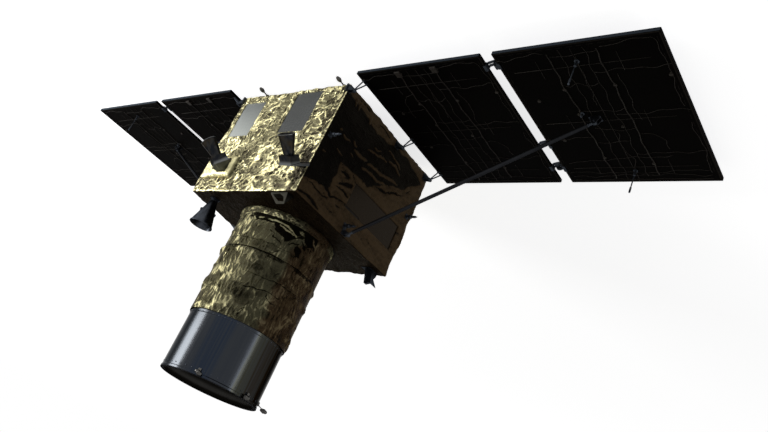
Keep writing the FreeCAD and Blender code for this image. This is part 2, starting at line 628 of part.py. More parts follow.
def root_hinge_leaves():
    """A forked arm from each root pin down to small pads at the inner panel's edge."""
    leaves = []
    spread, pad = 15.0, 7.0
    for y in ROOT_STATIONS:
        bore = rod(V(ROOT_X, y - ROOT_LUG, ROOT_Z), Y, ROOT_PIN_R + FIT, 2 * ROOT_LUG)
        lug = rod(V(ROOT_X, y - ROOT_LUG / 2, ROOT_Z), Y, ROOT_PIN_R + 4, ROOT_LUG)
        parts = [lug, block(INNER_X + 2, INNER_X + 9, y - spread, y + spread, REAR_Z, REAR_Z + 4)]
        for side in (-1, 1):
            parts.append(block(INNER_X + 2, INNER_X + 20, y + side * spread - pad,
                               y + side * spread + pad, REAR_Z, REAR_Z + 4))
            parts.append(bar(V(ROOT_X + 6, y + side * 3, ROOT_Z - 4),
                             V(INNER_X + 11, y + side * spread, REAR_Z + 3), 4))
        leaves.append(fused(*parts).cut(bore))
    return group(leaves)


def edge_clamp(edge, way, y0, y1):
    """U-shaped fitting that grips a panel edge; way is +1 or -1, away from the panel."""
    grip, t = 12.0, 4.0
    x0, x1 = sorted((edge - way * grip, edge + way * t))
    clamp = block(x0, x1, y0, y1, CELL_Z - t, REAR_Z + 3)
    a, b = sorted((edge - way * (grip + 1), edge))
    return clamp.cut(block(a, b, y0 - 1, y1 + 1, CELL_Z, REAR_Z))


def mid_hinge(leaf):
    """One side of the middle hinge: "clevis" on the inner panel, "lug" on the outer."""
    solids = []
    ear = 4.0
    inside = MID_LUG / 2 + 1.0
    for y in MID_STATIONS:
        half = 11.0 if y == MID_STATIONS[1] else 18.0
        if leaf == "clevis":
            edge = INNER_X + PANEL_L
            clamp = edge_clamp(edge, 1, y - half, y + half)
            ears = [link((edge + 3, MID_Z + 8), 8, (MID_X, MID_Z), 7.5, at, ear)
                    for at in (y - inside - ear, y + inside)]
            pin = rod(V(MID_X, y - inside - ear - 2, MID_Z), Y, MID_PIN_R, 2 * (inside + ear + 2))
            keep = block(edge, MID_X + 30, y - 30, y + 30, 0, REAR_Z)
            ears = [e.common(keep) for e in ears]
            parts = [clamp, pin] + ears
            if y == MID_STATIONS[0]:
                parts.append(rod(V(MID_X, y + inside + ear, MID_Z), Y, DRUM_R, DRUM_L))
            solids.append(fused(*parts))
        else:
            edge = OUTER_X
            pulley_y = y + inside + ear + 4
            wide = y == PULLEY_STATION
            clamp = edge_clamp(edge, -1, y - half, pulley_y + 12 if wide else y + half)
            keep = block(MID_X - 30, edge, y - 60, y + 60, 0, REAR_Z)
            arm = link((edge - 3, MID_Z + 8), 8, (MID_X, MID_Z), 7.5, y - MID_LUG / 2, MID_LUG)
            parts = [clamp, arm.common(keep)]
            if wide:
                parts.append(pulley(pulley_y))
            bore = rod(V(MID_X, y - 60, MID_Z), Y, MID_PIN_R + FIT, 120)
            solids.append(fused(*parts).cut(bore))
    return group(solids)


def pulley(y):
    """Grooved half pulley of the loop that makes the two hinges turn together."""
    r, t = 27.0, 8.0
    wheel = turned(((0, y), (r, y), (r - 3, y + t / 2), (r, y + t), (0, y + t)),
                   V(MID_X, 0, MID_Z), Y)
    half = wheel.cut(block(MID_X - 40, MID_X + 40, y - 1, y + t + 1, MID_Z - 60, MID_Z - 8))
    web = block(MID_X + 6, OUTER_X - 1, y, y + t, MID_Z - 4, CELL_Z)
    return fused(half, web)


def hold_down_rods():
    """Tie rods drawn back through the outer panel, and one short stud."""
    solids = []
    for out, y in ROD_SPOTS:
        top = REAR_Z + ROD_L
        solids.append(turned(((0, REAR_Z), (12, REAR_Z), (12, REAR_Z + 4), (6.5, REAR_Z + 5),
                              (6.5, REAR_Z + 32), (3, REAR_Z + 35), (3, top - 34), (5, top - 32),
                              (5, top - 4), (3, top), (0, top)), V(MID_X + out, y, 0)))
    out, y, length = SHORT_STUD
    solids.append(turned(((0, REAR_Z), (11, REAR_Z), (11, REAR_Z + 3), (6, REAR_Z + 5),
                          (6, REAR_Z + length - 6), (4, REAR_Z + length),
                          (0, REAR_Z + length)), V(MID_X + out, y, 0)))
    return group(solids)


def strut_catch():
    """Fork on the outer panel that takes the strut's cross pin when the wing is out."""
    inside, ear = STRUT_EYE_T / 2 + 1.5, 5.0
    slot_r = STRUT_PIN_R + 1.5
    plate = block(CATCH_X - 32, CATCH_X + 32, STRUT_Y - 20, STRUT_Y + 20, REAR_Z, REAR_Z + 4)
    parts = [plate]
    for y in (STRUT_Y - inside - ear, STRUT_Y + inside):
        parts.append(extruded([V(CATCH_X - 24, y, REAR_Z + 3), V(CATCH_X + 28, y, REAR_Z + 3),
                               V(CATCH_X + 16, y, CATCH_Z + 3), V(CATCH_X + 2, y, CATCH_Z + 13),
                               V(CATCH_X - 10, y, CATCH_Z + 8)], V(0, ear, 0)))
    fork = fused(*parts)
    tilt = math.radians(CATCH_TILT)
    away = V(math.cos(tilt), 0, math.sin(tilt))
    across = V(-away.z, 0, away.x).multiply(slot_r)
    start = V(CATCH_X, STRUT_Y - 40, CATCH_Z)
    far = start.add(V(away).multiply(60))
    slot = extruded([start.sub(across), start.add(across), far.add(across), far.sub(across)],
                    V(0, 80, 0))
    return fork.cut(fused(slot, rod(start, Y, slot_r, 80)))


def strut():
    """Tube with an eye at the bus end and a cross-pinned end at the panel."""
    foot, top = V(FOOT_X, STRUT_Y, FOOT_Z), V(CATCH_X, STRUT_Y, CATCH_Z)
    run = top.sub(foot)
    way = V(run).normalize()
    neck = 34.0
    plug = 26.0

    def along(distance):
        return foot.add(V(way).multiply(distance))

    tube = pipe(along(neck), way, STRUT_R, STRUT_R - STRUT_WALL, run.Length - 2 * neck)
    ends = []
    half = STRUT_EYE_T / 2
    for at, inward in ((0.0, 1), (run.Length, -1)):
        centre = along(at)
        inner = STRUT_R - STRUT_WALL - FIT
        shank = turned(((0, 6), (7, 6), (7, neck - 6), (STRUT_R, neck - 4), (STRUT_R, neck - FIT),
                        (inner, neck - FIT), (inner, neck + plug), (0, neck + plug)),
                       centre, V(way).multiply(inward))
        eye = rod(V(centre.x, STRUT_Y - half, centre.z), Y, STRUT_EYE_R, 2 * half)
        end = fused(eye, shank)
        if at == 0.0:
            end = end.cut(rod(V(centre.x, STRUT_Y - 20, centre.z), Y, STRUT_PIN_R + FIT, 40))
        else:
            reach = half + 1.5 + 5.0 + 2.0
            end = fused(end, rod(V(centre.x, STRUT_Y - reach, centre.z), Y, STRUT_PIN_R, 2 * reach))
        ends.append(end)
    return tube, group(ends)


def wings():
    tube, ends = strut()
    pieces = {
        "inner_panel": wing_panel(INNER_X),
        "outer_panel": wing_panel(OUTER_X),
        "root_hinge_leaves": root_hinge_leaves(),
        "mid_hinge_clevises": mid_hinge("clevis"),
        "mid_hinge_lugs": mid_hinge("lug"),
        "hold_down_rods": hold_down_rods(),
        "strut_catch": strut_catch(),
        "strut_tube": tube,
        "strut_ends": ends,
    }
    for name, shape in pieces.items():
        NODES[name + "_left"] = shape
        NODES[name + "_right"] = mirrored(shape)


def main():
    separation_ring()
    bus_panels()
    NODES["radiators"] = group(radiator_windows(0))
    telescope()
    star_trackers()
    horn_antenna()
    nadir_brackets()
    edge_sensors()
    shade_sensors()
    hold_down_stubs()
    strut_feet()
    root_hinge_brackets()
    on_foil = [NODES[n].BoundBox for n in ("horn_plinth", "nadir_bracket_front",
                                           "nadir_bracket_back")]
    for name in ("hold_down_stubs", "strut_feet", "root_hinge_brackets", "edge_sensors",
                 "star_tracker_brackets", "star_tracker_skirt"):
        on_foil += [solid.BoundBox for solid in NODES[name].Solids]
    margin = 1.5
    openings = [block(b.XMin - margin, b.XMax + margin, b.YMin - margin, b.YMax + margin,
                      b.ZMin - margin, b.ZMax + margin) for b in on_foil]
    openings += radiator_openings()
    foil_blankets(openings)
    wings()
    os.makedirs("parts", exist_ok=True)
    for name, shape in NODES.items():
        shape.exportStep("parts/" + name + ".step")
    print(len(NODES), "nodes")


main()
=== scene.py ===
"""Looks of an Earth-watching satellite: crinkled foil, wing wiring, cells, fittings and a plain stage.

Metres, +Z up along the telescope, X along the wings, star trackers on the -Y side.
Every piece is made where the packed model says that it goes, and rides on one of its bodies.
"""
import json
import math

import bpy
import numpy as np
from bpy.props import FloatProperty, FloatVectorProperty, PointerProperty
from mathutils import Matrix, Vector


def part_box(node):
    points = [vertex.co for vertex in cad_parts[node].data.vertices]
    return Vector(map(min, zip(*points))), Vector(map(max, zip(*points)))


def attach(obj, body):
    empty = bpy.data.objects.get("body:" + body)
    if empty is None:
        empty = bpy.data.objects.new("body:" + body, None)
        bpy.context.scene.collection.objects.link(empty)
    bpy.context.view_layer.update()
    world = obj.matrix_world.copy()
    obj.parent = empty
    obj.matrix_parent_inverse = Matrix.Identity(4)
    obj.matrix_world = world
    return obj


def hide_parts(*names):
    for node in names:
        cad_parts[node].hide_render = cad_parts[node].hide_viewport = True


bl_info = {
    "name": "Foil Satellite",
    "version": (1, 0, 0),
    "blender": (4, 5, 0),
    "location": "View3D > Sidebar > Satellite",
    "description": "Dresses a packed satellite in foil, wiring, cells and fittings",
    "category": "Object",
}

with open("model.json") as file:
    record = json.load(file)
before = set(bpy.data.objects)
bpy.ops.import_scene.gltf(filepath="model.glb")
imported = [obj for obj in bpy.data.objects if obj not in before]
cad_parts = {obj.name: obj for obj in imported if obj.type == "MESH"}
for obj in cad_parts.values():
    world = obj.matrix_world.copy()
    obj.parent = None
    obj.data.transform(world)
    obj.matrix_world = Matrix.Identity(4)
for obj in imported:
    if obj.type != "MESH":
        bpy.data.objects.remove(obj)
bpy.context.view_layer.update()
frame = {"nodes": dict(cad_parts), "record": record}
NODES = frame["nodes"]
SIDES = (("left", 1), ("right", -1))


# --- what the frame says --------------------------------------------------------------
def points_of(node):
    """The corners of a CAD node as an array."""
    mesh = NODES[node].data
    flat = np.zeros(len(mesh.vertices) * 3, np.float32)
    mesh.vertices.foreach_get("co", flat)
    return flat.reshape(-1, 3).astype(float)


def solids_of(node):
    """The corners of each separate solid of a CAD node."""
    points = points_of(node)
    keys = np.round(points * 1e5).astype(int)
    _, merged = np.unique(keys, axis=0, return_inverse=True)
    merged = merged.ravel()
    root = list(range(merged.max() + 1))

    def find(i):
        while root[i] != i:
            root[i] = root[root[i]]
            i = root[i]
        return i

    for edge in NODES[node].data.edges:
        a, b = find(merged[edge.vertices[0]]), find(merged[edge.vertices[1]])
        root[max(a, b)] = min(a, b)
    label = np.array([find(i) for i in merged])
    return [points[label == i] for i in sorted(set(label))]


BUS_LOW, BUS_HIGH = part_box("foil_blankets")
BUS_HALF = np.array([BUS_HIGH.x, BUS_HIGH.y, (BUS_HIGH.z - BUS_LOW.z) / 2])
BUS_MID = np.array([0.0, 0.0, (BUS_HIGH.z + BUS_LOW.z) / 2])
PANEL_HALF_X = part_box("side_panel_left")[1].x
FOIL_THICK = BUS_HIGH.x - PANEL_HALF_X
RELIEF_LIMITS = (-0.0075, 0.012)
WRAP_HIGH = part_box("barrel_wrap")[1]
COLLAR_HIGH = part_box("barrel_collar")[1]
SHADE_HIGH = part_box("sunshade")[1]
TUBE_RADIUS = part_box("telescope_tube")[1].x


# --- noise ----------------------------------------------------------------------------
def scatter(column, row, seed):
    """Two even random numbers from 0 to 1 for each cell of a lattice."""
    key = (column.astype(np.int64) * 374761393 + row.astype(np.int64) * 668265263
           + seed * 1442695041) & 0xFFFFFFFF
    key = ((key ^ (key >> 13)) * 1274126177) & 0xFFFFFFFF
    key = ((key ^ (key >> 16)) * 2246822519) & 0xFFFFFFFF
    key ^= key >> 15
    return (key & 0xFFFF) / 65535.0, ((key >> 16) & 0xFFFF) / 65535.0


def cells(x, y, seed, wrap=0):
    """Distances to the nearest and the next nearest of points scattered one to a unit square.

    The third result is a random number that belongs to the nearest point. wrap joins the
    pattern to itself after that many units along x."""
    column, row = np.floor(x), np.floor(y)
    near = np.full(x.shape, 9.0)
    second, luck = near.copy(), near.copy()
    for across in (-1, 0, 1):
        for up in (-1, 0, 1):
            at = (column + across) % wrap if wrap else column + across
            jitter_x, jitter_y = scatter(at, row + up, seed)
            gap = np.hypot(column + across + jitter_x - x, row + up + jitter_y - y)
            second = np.minimum(second, np.maximum(near, gap))
            luck = np.where(gap < near, scatter(at, row + up, seed + 500)[0], luck)
            near = np.minimum(near, gap)
    return near, second, luck


def swell(x, y, seed, wrap=0):
    """Smooth waves from -1 to 1 that change over about a unit."""
    column, row = np.floor(x), np.floor(y)
    s, t = x - column, y - row
    s, t = s * s * (3 - 2 * s), t * t * (3 - 2 * t)
    corner = [scatter((column + i) % wrap if wrap else column + i, row + j, seed)[0]
              for j in (0, 1) for i in (0, 1)]
    low = corner[0] * (1 - s) + corner[1] * s
    high = corner[2] * (1 - s) + corner[3] * s
    return 2 * (low * (1 - t) + high * t) - 1


def ramp(value, low, high):
    """Smooth step from 0 at low to 1 at high."""
    t = np.clip((value - low) / (high - low), 0, 1)
    return t * t * (3 - 2 * t)


def pushed(x, y, bend, seed, wrap=0):
    """Coordinates in crinkles, pushed about so that no row of crinkles is straight."""
    for scale, share in ((0.5, 1.0), (2.0, 0.25)):
        across = swell(x * scale, y * scale, seed + 11, int(wrap * scale))
        up = swell(x * scale, y * scale, seed + 12, int(wrap * scale))
        x, y = x + bend * share * across, y + bend * share * up
    return x, y


def crumple(x, y, seed, bend=0.5, wrap=0):
    """Crinkled foil from -1 to 1: pillows of about a unit between creases, in finer and finer steps."""
    x, y = pushed(x, y, bend, seed, wrap)
    total = np.zeros(x.shape)
    for step, (finer, share) in enumerate(((1, 0.52), (2, 0.30), (4, 0.18))):
        near, second, _ = cells(x * finer, y * finer, seed + step, wrap * finer)
        facet = 1 - 2.2 * near if step == 1 else 2.2 * near - 1
        total += share * np.clip(facet + 0.35 * (second - near), -1.2, 1.2)
    return total


def web(x, y, seed, width, bend=0.5, wrap=0):
    """Ridges between flat islands: 1 on a ridge, 0 on an island, and a random number for each island."""
    x, y = pushed(x, y, bend, seed, wrap)
    near, second, luck = cells(x, y, seed, wrap)
    return 1 - ramp(second - near, 0.4 * width, width), luck


def stroke(x, y, path, width):
    """1 along a fold, falling to 0 at its width, and narrower towards its two ends."""
    best = np.zeros(x.shape)
    count = len(path) - 1
    for i in range(count):
        ax, ay = path[i]
        dx, dy = path[i + 1][0] - ax, path[i + 1][1] - ay
        along = np.clip(((x - ax) * dx + (y - ay) * dy) / (dx * dx + dy * dy), 0, 1)
        gap = np.hypot(x - ax - along * dx, y - ay - along * dy)
        taper = 0.35 + 0.65 * np.sqrt(np.clip(np.sin(math.pi * (i + along) / count), 0, 1))
        best = np.maximum(best, ramp(1 - gap / (width * taper), 0.0, 0.6))
    return best


def strokes(x, y, folds):
    """1 along any of several folds, each given as its width and its path."""
    best = np.zeros(x.shape)
    for width, path in folds:
        best = np.maximum(best, stroke(x, y, path, width))
    return best


def inside(x, y, outline):
    """Distance inside a closed outline, negative outside."""
    gap = np.full(x.shape, 9.0)
    crossings = np.zeros(x.shape, bool)
    for (ax, ay), (bx, by) in zip(outline, outline[1:] + outline[:1]):
        dx, dy = bx - ax, by - ay
        along = np.clip(((x - ax) * dx + (y - ay) * dy) / (dx * dx + dy * dy), 0, 1)
        gap = np.minimum(gap, np.hypot(x - ax - along * dx, y - ay - along * dy))
        spans = (ay > y) != (by > y)
        if ay != by:
            crossings ^= spans & (x < ax + dx * (y - ay) / dy)
    return np.where(crossings, gap, -gap)


def patches(x, y, ovals):
    """1 inside any of several ovals, each given as its middle and its half widths."""
    best = np.zeros(x.shape)
    for at_x, at_y, half_x, half_y in ovals:
        reach = ((x - at_x) / half_x) ** 2 + ((y - at_y) / half_y) ** 2
        best = np.maximum(best, ramp(1 - reach, 0.0, 0.35))
    return best


# --- meshes ---------------------------------------------------------------------------
def gridlines(low, high, step, stops=()):
    """Even steps from low to high that also fall on every stop between them."""
    marks = [low] + sorted(s for s in set(stops) if low + 1e-4 < s < high - 1e-4) + [high]
    lines = [low]
    for start, end in zip(marks, marks[1:]):
        count = max(1, round((end - start) / step))
        lines += [start + (end - start) * (i + 1) / count for i in range(count)]
    return np.array(lines)


def mesh_object(name, points, faces, attributes=None, smooth=True):
    """A mesh object from arrays, with named numbers on its points."""
    mesh = bpy.data.meshes.new(name)
    if isinstance(faces, np.ndarray):
        faces = faces.tolist()
    mesh.from_pydata(np.asarray(points).tolist(), [], faces)
    for key, values in (attributes or {}).items():
        layer = mesh.attributes.new(key, "FLOAT", "POINT")
        layer.data.foreach_set("value", np.asarray(values, np.float32))
    if smooth:
        mesh.polygons.foreach_set("use_smooth", [True] * len(mesh.polygons))
    mesh.update()
    made = bpy.data.objects.new(name, mesh)
    bpy.context.scene.collection.objects.link(made)
    return made


def grid_faces(rows, columns, keep=None):
    """Quads of a grid whose points run along its columns first; keep says which quads stay."""
    index = np.arange(rows * columns).reshape(rows, columns)
    quads = np.stack([index[:-1, :-1], index[:-1, 1:], index[1:, 1:], index[1:, :-1]], -1)
    if keep is not None:
        return quads[keep]
    return quads.reshape(-1, 4)


def band_faces(rows, around):
    """Quads of a grid that closes on itself, whose points run round it first."""
    index = np.arange(rows * around).reshape(rows, around)
    following = np.roll(index, -1, axis=1)
    return np.stack([index[:-1], following[:-1], following[1:], index[1:]], -1).reshape(-1, 4)


def hemmed(points, quads, base, fold=None):
    """Fold the open borders of a grid down to their points on base, or only where fold says so."""
    edges = {}
    for quad in quads.tolist():
        for a, b in zip(quad, quad[1:] + quad[:1]):
            edges[(a, b)] = (b, a) not in edges
            if (b, a) in edges:
                edges[(b, a)] = False
    border = [(a, b) for (a, b), is_open in edges.items()
              if is_open and (fold is None or (fold[a] and fold[b]))]
    extra, moved, rows = [], {}, []
    for a, b in border:
        for corner in (a, b):
            if corner not in moved:
                moved[corner] = len(points) + len(extra)
                extra.append(base[corner])
        rows.append([b, a, moved[a], moved[b]])
    if not rows:
        return points, quads, np.arange(len(points))
    source = np.concatenate([np.arange(len(points)), np.array(list(moved), int)])
    return np.concatenate([points, np.array(extra)]), np.concatenate([quads, np.array(rows)]), source


def trimmed(points, faces, source):
    """Drop the points that no face uses."""
    used = np.unique(faces)
    renumber = np.full(len(points), -1)
    renumber[used] = np.arange(len(used))
    return points[used], renumber[faces], source[used]


def ring_faces(rows, sides):
    """Faces of a stack of rings, with a cap on each end."""
    faces = []
    for row in range(rows - 1):
        start = row * sides
        for i in range(sides):
            j = (i + 1) % sides
            faces.append([start + i, start + j, start + sides + j, start + sides + i])
    faces.append(list(range(sides))[::-1])
    faces.append([(rows - 1) * sides + i for i in range(sides)])
    return faces


def tube(path, radius, sides=5):
    """Points and faces of a round wire through a list of points; radius may differ at each."""
    path = np.asarray(path, float)
    radius = np.broadcast_to(np.asarray(radius, float), (len(path),))[:, None]
    ahead = np.gradient(path, axis=0)
    ahead /= np.linalg.norm(ahead, axis=1)[:, None]
    side = np.cross(ahead, (0.0, 0.0, 1.0))
    side /= np.linalg.norm(side, axis=1)[:, None]
    over = np.cross(side, ahead)
    rings = []
    for i in range(sides):
        turn = 2 * math.pi * i / sides
        rings.append(path + radius * (side * math.cos(turn) + over * math.sin(turn)))
    return np.stack(rings, 1).reshape(-1, 3), ring_faces(len(path), sides)


def plate(low, high, chamfer):
    """Points and faces of a box whose top edges are cut back by chamfer."""
    (x0, y0, z0), (x1, y1, z1) = low, high
    points = []
    for cut, z in ((0.0, z0), (0.0, z1 - chamfer), (chamfer, z1)):
        points += [(x0 + cut, y0 + cut, z), (x1 - cut, y0 + cut, z),
                   (x1 - cut, y1 - cut, z), (x0 + cut, y1 - cut, z)]
    return points, ring_faces(3, 4)


def lathe(profile, base, axis, sides=12):
    """Points and faces of a turned fitting: (radius, height) pairs about axis through base."""
    axis = Vector(axis).normalized()
    side = axis.orthogonal().normalized()
    other = axis.cross(side)
    points = []
    for radius, height in profile:
        for i in range(sides):
            turn = 2 * math.pi * i / sides
            points.append(tuple(Vector(base) + axis * height
                                + (side * math.cos(turn) + other * math.sin(turn)) * radius))
    return points, ring_faces(len(profile), sides)


def hex_bolt(base, axis, size):
    """A round washer and a six-sided head that is size across."""
    washer = ((0.62, 0.0), (0.62, 0.1), (0.5, 0.12))
    head = ((0.5, 0.1), (0.5, 0.42), (0.42, 0.5))
    return [lathe([(size * radius, size * height) for radius, height in profile], base, axis, sides)
            for profile, sides in ((washer, 14), (head, 6))]


class Pile:
    """Many small shapes gathered into one mesh."""

    def __init__(self):
        self.points = []
        self.faces = []

    def add(self, *shapes):
        for points, faces in shapes:
            start = len(self.points)
            self.points += [tuple(p) for p in points]
            self.faces += [[start + i for i in face] for face in faces]

    def mesh(self, name, smooth=False):
        return mesh_object(name, self.points, self.faces, smooth=smooth)


def finish_piece(piece, body, material, replaced=()):
    """Give a piece its material and body, and hide the parts that it replaces."""
    piece.data.materials.clear()
    piece.data.materials.append(material)
    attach(piece, body)
    if replaced:
        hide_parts(*replaced)


# --- materials ------------------------------------------------------------------------
class Socket:
    """A number that a node gives, for use in sums."""

    def __init__(self, nodes, output):
        self.nodes = nodes
        self.output = output

    def math(self, operation, *others):
        """The result of a Math node on this number and others."""
        terms = dict(enumerate((self, *others)))
        node = self.nodes.node("ShaderNodeMath", {"operation": operation}, terms)
        return Socket(self.nodes, node.outputs[0])

    def __add__(self, other):
        return self.math("ADD", other)

    __radd__ = __add__

    def __mul__(self, other):
        return self.math("MULTIPLY", other)

    __rmul__ = __mul__

    def __sub__(self, other):
        return self.math("SUBTRACT", other)

    def __rsub__(self, other):
        return (self * -1) + other

    def __truediv__(self, other):
        return self.math("DIVIDE", other)

    def __pow__(self, other):
        return self.math("POWER", other)

    def __abs__(self):
        return self.math("ABSOLUTE")

    def clamp(self):
        return self.math("MAXIMUM", 0.0).math("MINIMUM", 1.0)

    def step(self, low, high):
        """0 below low, 1 above high, smooth between."""
        node = self.nodes.node("ShaderNodeMapRange", {"interpolation_type": "SMOOTHSTEP"},
                               {"Value": self, "From Min": low, "From Max": high})
        return Socket(self.nodes, node.outputs["Result"])


class Nodes:
    """The emptied node tree of a material or a world."""

    def __init__(self, owner):
        owner.use_nodes = True
        self.tree = owner.node_tree
        self.tree.nodes.clear()

    def node(self, kind, settings=None, sockets=None):
        """A new node of a kind, with its settings and the values or links of its sockets."""
        made = self.tree.nodes.new(kind)
        for key, value in (settings or {}).items():
            setattr(made, key, value)
        for key, value in (sockets or {}).items():
            self.feed(made.inputs[key], value)
        return made

    def feed(self, target, value):
        """Link a node's output to a socket, or set the socket's own value."""
        if isinstance(value, Socket):
            value = value.output
        if isinstance(value, bpy.types.NodeSocket):
            self.tree.links.new(value, target)
        elif target.type == "RGBA":
            target.default_value = (*value, 1)
        else:
            target.default_value = value

    def seen_directly(self):
        """1 for rays from the camera, from a glossy surface or through glass."""
        path = self.node("ShaderNodeLightPath").outputs
        seen = Socket(self, path["Is Camera Ray"])
        return seen.math("MAXIMUM", path["Is Glossy Ray"]).math("MAXIMUM", path["Is Transmission Ray"])


class Finish(Nodes):
    """One procedural material and the nodes that make it."""

    def __init__(self, name, **constants):
        self.material = bpy.data.materials.new(name)
        super().__init__(self.material)
        named = {key.replace("_", " "): value for key, value in constants.items()}
        self.shader = self.node("ShaderNodeBsdfPrincipled", {}, named)
        self.node("ShaderNodeOutputMaterial", {}, {"Surface": self.shader.outputs[0]})

    def place(self):
        """Where a point of the object is, in metres."""
        return self.node("ShaderNodeTexCoord").outputs["Object"]

    def axes(self):
        """The three coordinates of a point of the object."""
        node = self.node("ShaderNodeSeparateXYZ", {}, {0: self.place()})
        return [Socket(self, output) for output in node.outputs]

    def stretched(self, scale):
        """Object coordinates stretched by a factor along each axis."""
        return self.node("ShaderNodeMapping", {}, {"Vector": self.place(), "Scale": scale}).outputs[0]

    def noise(self, scale, detail=3.0, rough=0.55, bend=0.0, place=None):
        """Soft cloudy noise with scale waves to a metre."""
        node = self.node("ShaderNodeTexNoise", {},
                         {"Vector": place or self.place(), "Scale": scale, "Detail": detail,
                          "Roughness": rough, "Distortion": bend})
        return Socket(self, node.outputs["Fac"])

    def cracks(self, scale, place):
        """Distance from the borders of scattered cells, scale of them to a metre."""
        node = self.node("ShaderNodeTexVoronoi", {"feature": "DISTANCE_TO_EDGE"},
                         {"Vector": place, "Scale": scale})
        return Socket(self, node.outputs["Distance"])

    def mark(self, name):
        """A number stored on the mesh's points."""
        return Socket(self, self.node("ShaderNodeAttribute", {"attribute_name": name}).outputs["Fac"])

    def blend(self, factor, first, second):
        """One colour fading into another."""
        node = self.node("ShaderNodeMix", {"data_type": "RGBA"}, {0: factor, 6: first, 7: second})
        return node.outputs[2]

    def bump(self, height, distance, strength=1.0):
        """Fine relief, distance metres deep where height is 1."""
        node = self.node("ShaderNodeBump", {},
                         {"Height": height, "Distance": distance, "Strength": strength})
        self.feed(self.shader.inputs["Normal"], node.outputs[0])

    def paint(self, **sockets):
        """Feed the shader's sockets, given by name, and hand over the material."""
        for key, value in sockets.items():
            self.feed(self.shader.inputs[key.replace("_", " ").title()], value)
        return self.material


def shaded(colour, share=1.0):
    """A colour made darker or lighter, channel by channel."""
    return tuple(share * channel for channel in colour)


def foil_finish(name, dark, mid, light, metallic, rough, gloss=0.5, spread=(0.05, 0.5, 0.5, 0.95),
                mottling=(0.5, 0.2), shade_side=None, edge=1.0, bumps=0.9):
    """Crinkled metal-coated film, with painted shade in its creases and painted highlights on its ridges.

    spread says over which tones dark turns to mid and mid to light. The shade-side pair gives the mid and
    light colours of the places that the mesh marks for painted shade, on the side turned from the light."""
    finish = Finish(name, Metallic=metallic, IOR=1.5, Specular_IOR_Level=gloss,
                    Specular_Tint=(edge, 0.92 * edge, 0.75 * edge))
    tone = finish.mark("tone")
    depth = finish.mark("depth")
    mottle = finish.noise(26.0, 4.0, 0.6, 0.8)
    fine = finish.noise(120.0, 3.0, 0.6, 1.2)
    push = finish.node("ShaderNodeTexNoise", {}, {"Scale": 30.0})
    pushed_place = finish.node("ShaderNodeVectorMath", {"operation": "ADD"},
                               {0: finish.place(), 1: push.outputs["Color"]})
    crease = finish.cracks(75.0, pushed_place.outputs[0])
    shade = (tone + (mottle - 0.5) * mottling[0] + (fine - 0.5) * mottling[1]).clamp()
    # The shade-side colours are painted shade for the side turned from the light.
    if shade_side:
        where = finish.mark("shade_side")
        mid = finish.blend(where, mid, shade_side[0])
        light = finish.blend(where, light, shade_side[1])
    low = finish.blend(shade.step(*spread[:2]), dark, mid)
    colour = finish.blend(shade.step(*spread[2:]), low, light)
    # Where the mesh's depth is low the colour falls towards black: painted shade in creases, folds, pits
    # and under overhangs.
    painted_shading = finish.blend(depth.step(0.0, 0.5), shaded(dark, 0.3), colour)
    finish.bump(crease.step(0.0, 0.12) * 0.5 + fine * 0.8 + mottle * 0.7, 0.0016, bumps)
    return finish.paint(base_color=painted_shading, roughness=(mottle * 0.25 + rough).clamp())


def satin_finish(name, colour, metallic=1.0, rough=0.35, grain=(1, 1, 1), edge=0.4, gloss=0.3, streak=0.12):
    """Brushed or blasted metal with faint streaks, rubbed places and fine scratches."""
    finish = Finish(name, Metallic=metallic, IOR=1.5, Specular_IOR_Level=gloss,
                    Specular_Tint=(edge, edge, edge))
    streaks = finish.noise(90.0, 4.0, 0.65, 0.0, finish.stretched(grain))
    cloud = finish.noise(9.0, 3.0, 0.5, 0.4)
    rubbed = cloud * 0.6 + streaks * 0.4
    tinted = finish.blend(rubbed.step(0.25, 0.75), shaded(colour, 1 - 2.5 * streak),
                          shaded(colour, 1 + 2.5 * streak))
    finish.bump(streaks, 0.0002, 0.35)
    return finish.paint(base_color=tinted, roughness=(streaks * 0.14 + cloud * 0.1 + rough).clamp())


# --- settings -------------------------------------------------------------------------
def tint(name, description, default):
    """A colour that a user may change."""
    return FloatVectorProperty(name=name, description=description, default=default,
                               subtype="COLOR", size=3, min=0.0, max=1.0)


def length(name, description, default, high):
    """A length in metres that a user may change."""
    return FloatProperty(name=name, description=description, default=default, min=0.0, max=high,
                         unit="LENGTH", subtype="DISTANCE", precision=4)


class FoilSettings(bpy.types.PropertyGroup):
    """Sizes and colours of the foil."""
    grid: length("Grid", "Spacing of the foil's mesh", 0.0045, 0.05)
    edge: length("Edge Radius", "Radius of the foil along the body's edges", 0.007, 0.05)
    grain: length("Crinkle Size", "Width of a crinkle on the front blanket", 0.042, 0.2)
    depth: length("Crinkle Depth", "Height of the crinkles", 0.0075, 0.03)
    # The lit gold is a painted highlight on the front foil's ridges and the dark gold painted shade in its
    # creases; the side brown and the side dark are painted shade for the faces turned from the light.
    light: tint("Lit Gold", "Ridges of the front foil", (0.80, 0.74, 0.42))
    mid: tint("Mid Gold", "Faces of the front foil", (0.135, 0.125, 0.070))
    dark: tint("Dark Gold", "Creases of the front foil", (0.016, 0.013, 0.007))
    brown: tint("Side Brown", "Smooth places of the side foil", (0.052, 0.034, 0.018))
    shadow_black: tint("Side Dark", "Slack folds of the side foil", (0.0036, 0.0029, 0.0023))
    olive: tint("Barrel Olive", "Middle tone of the barrel's foil", (0.058, 0.054, 0.032))


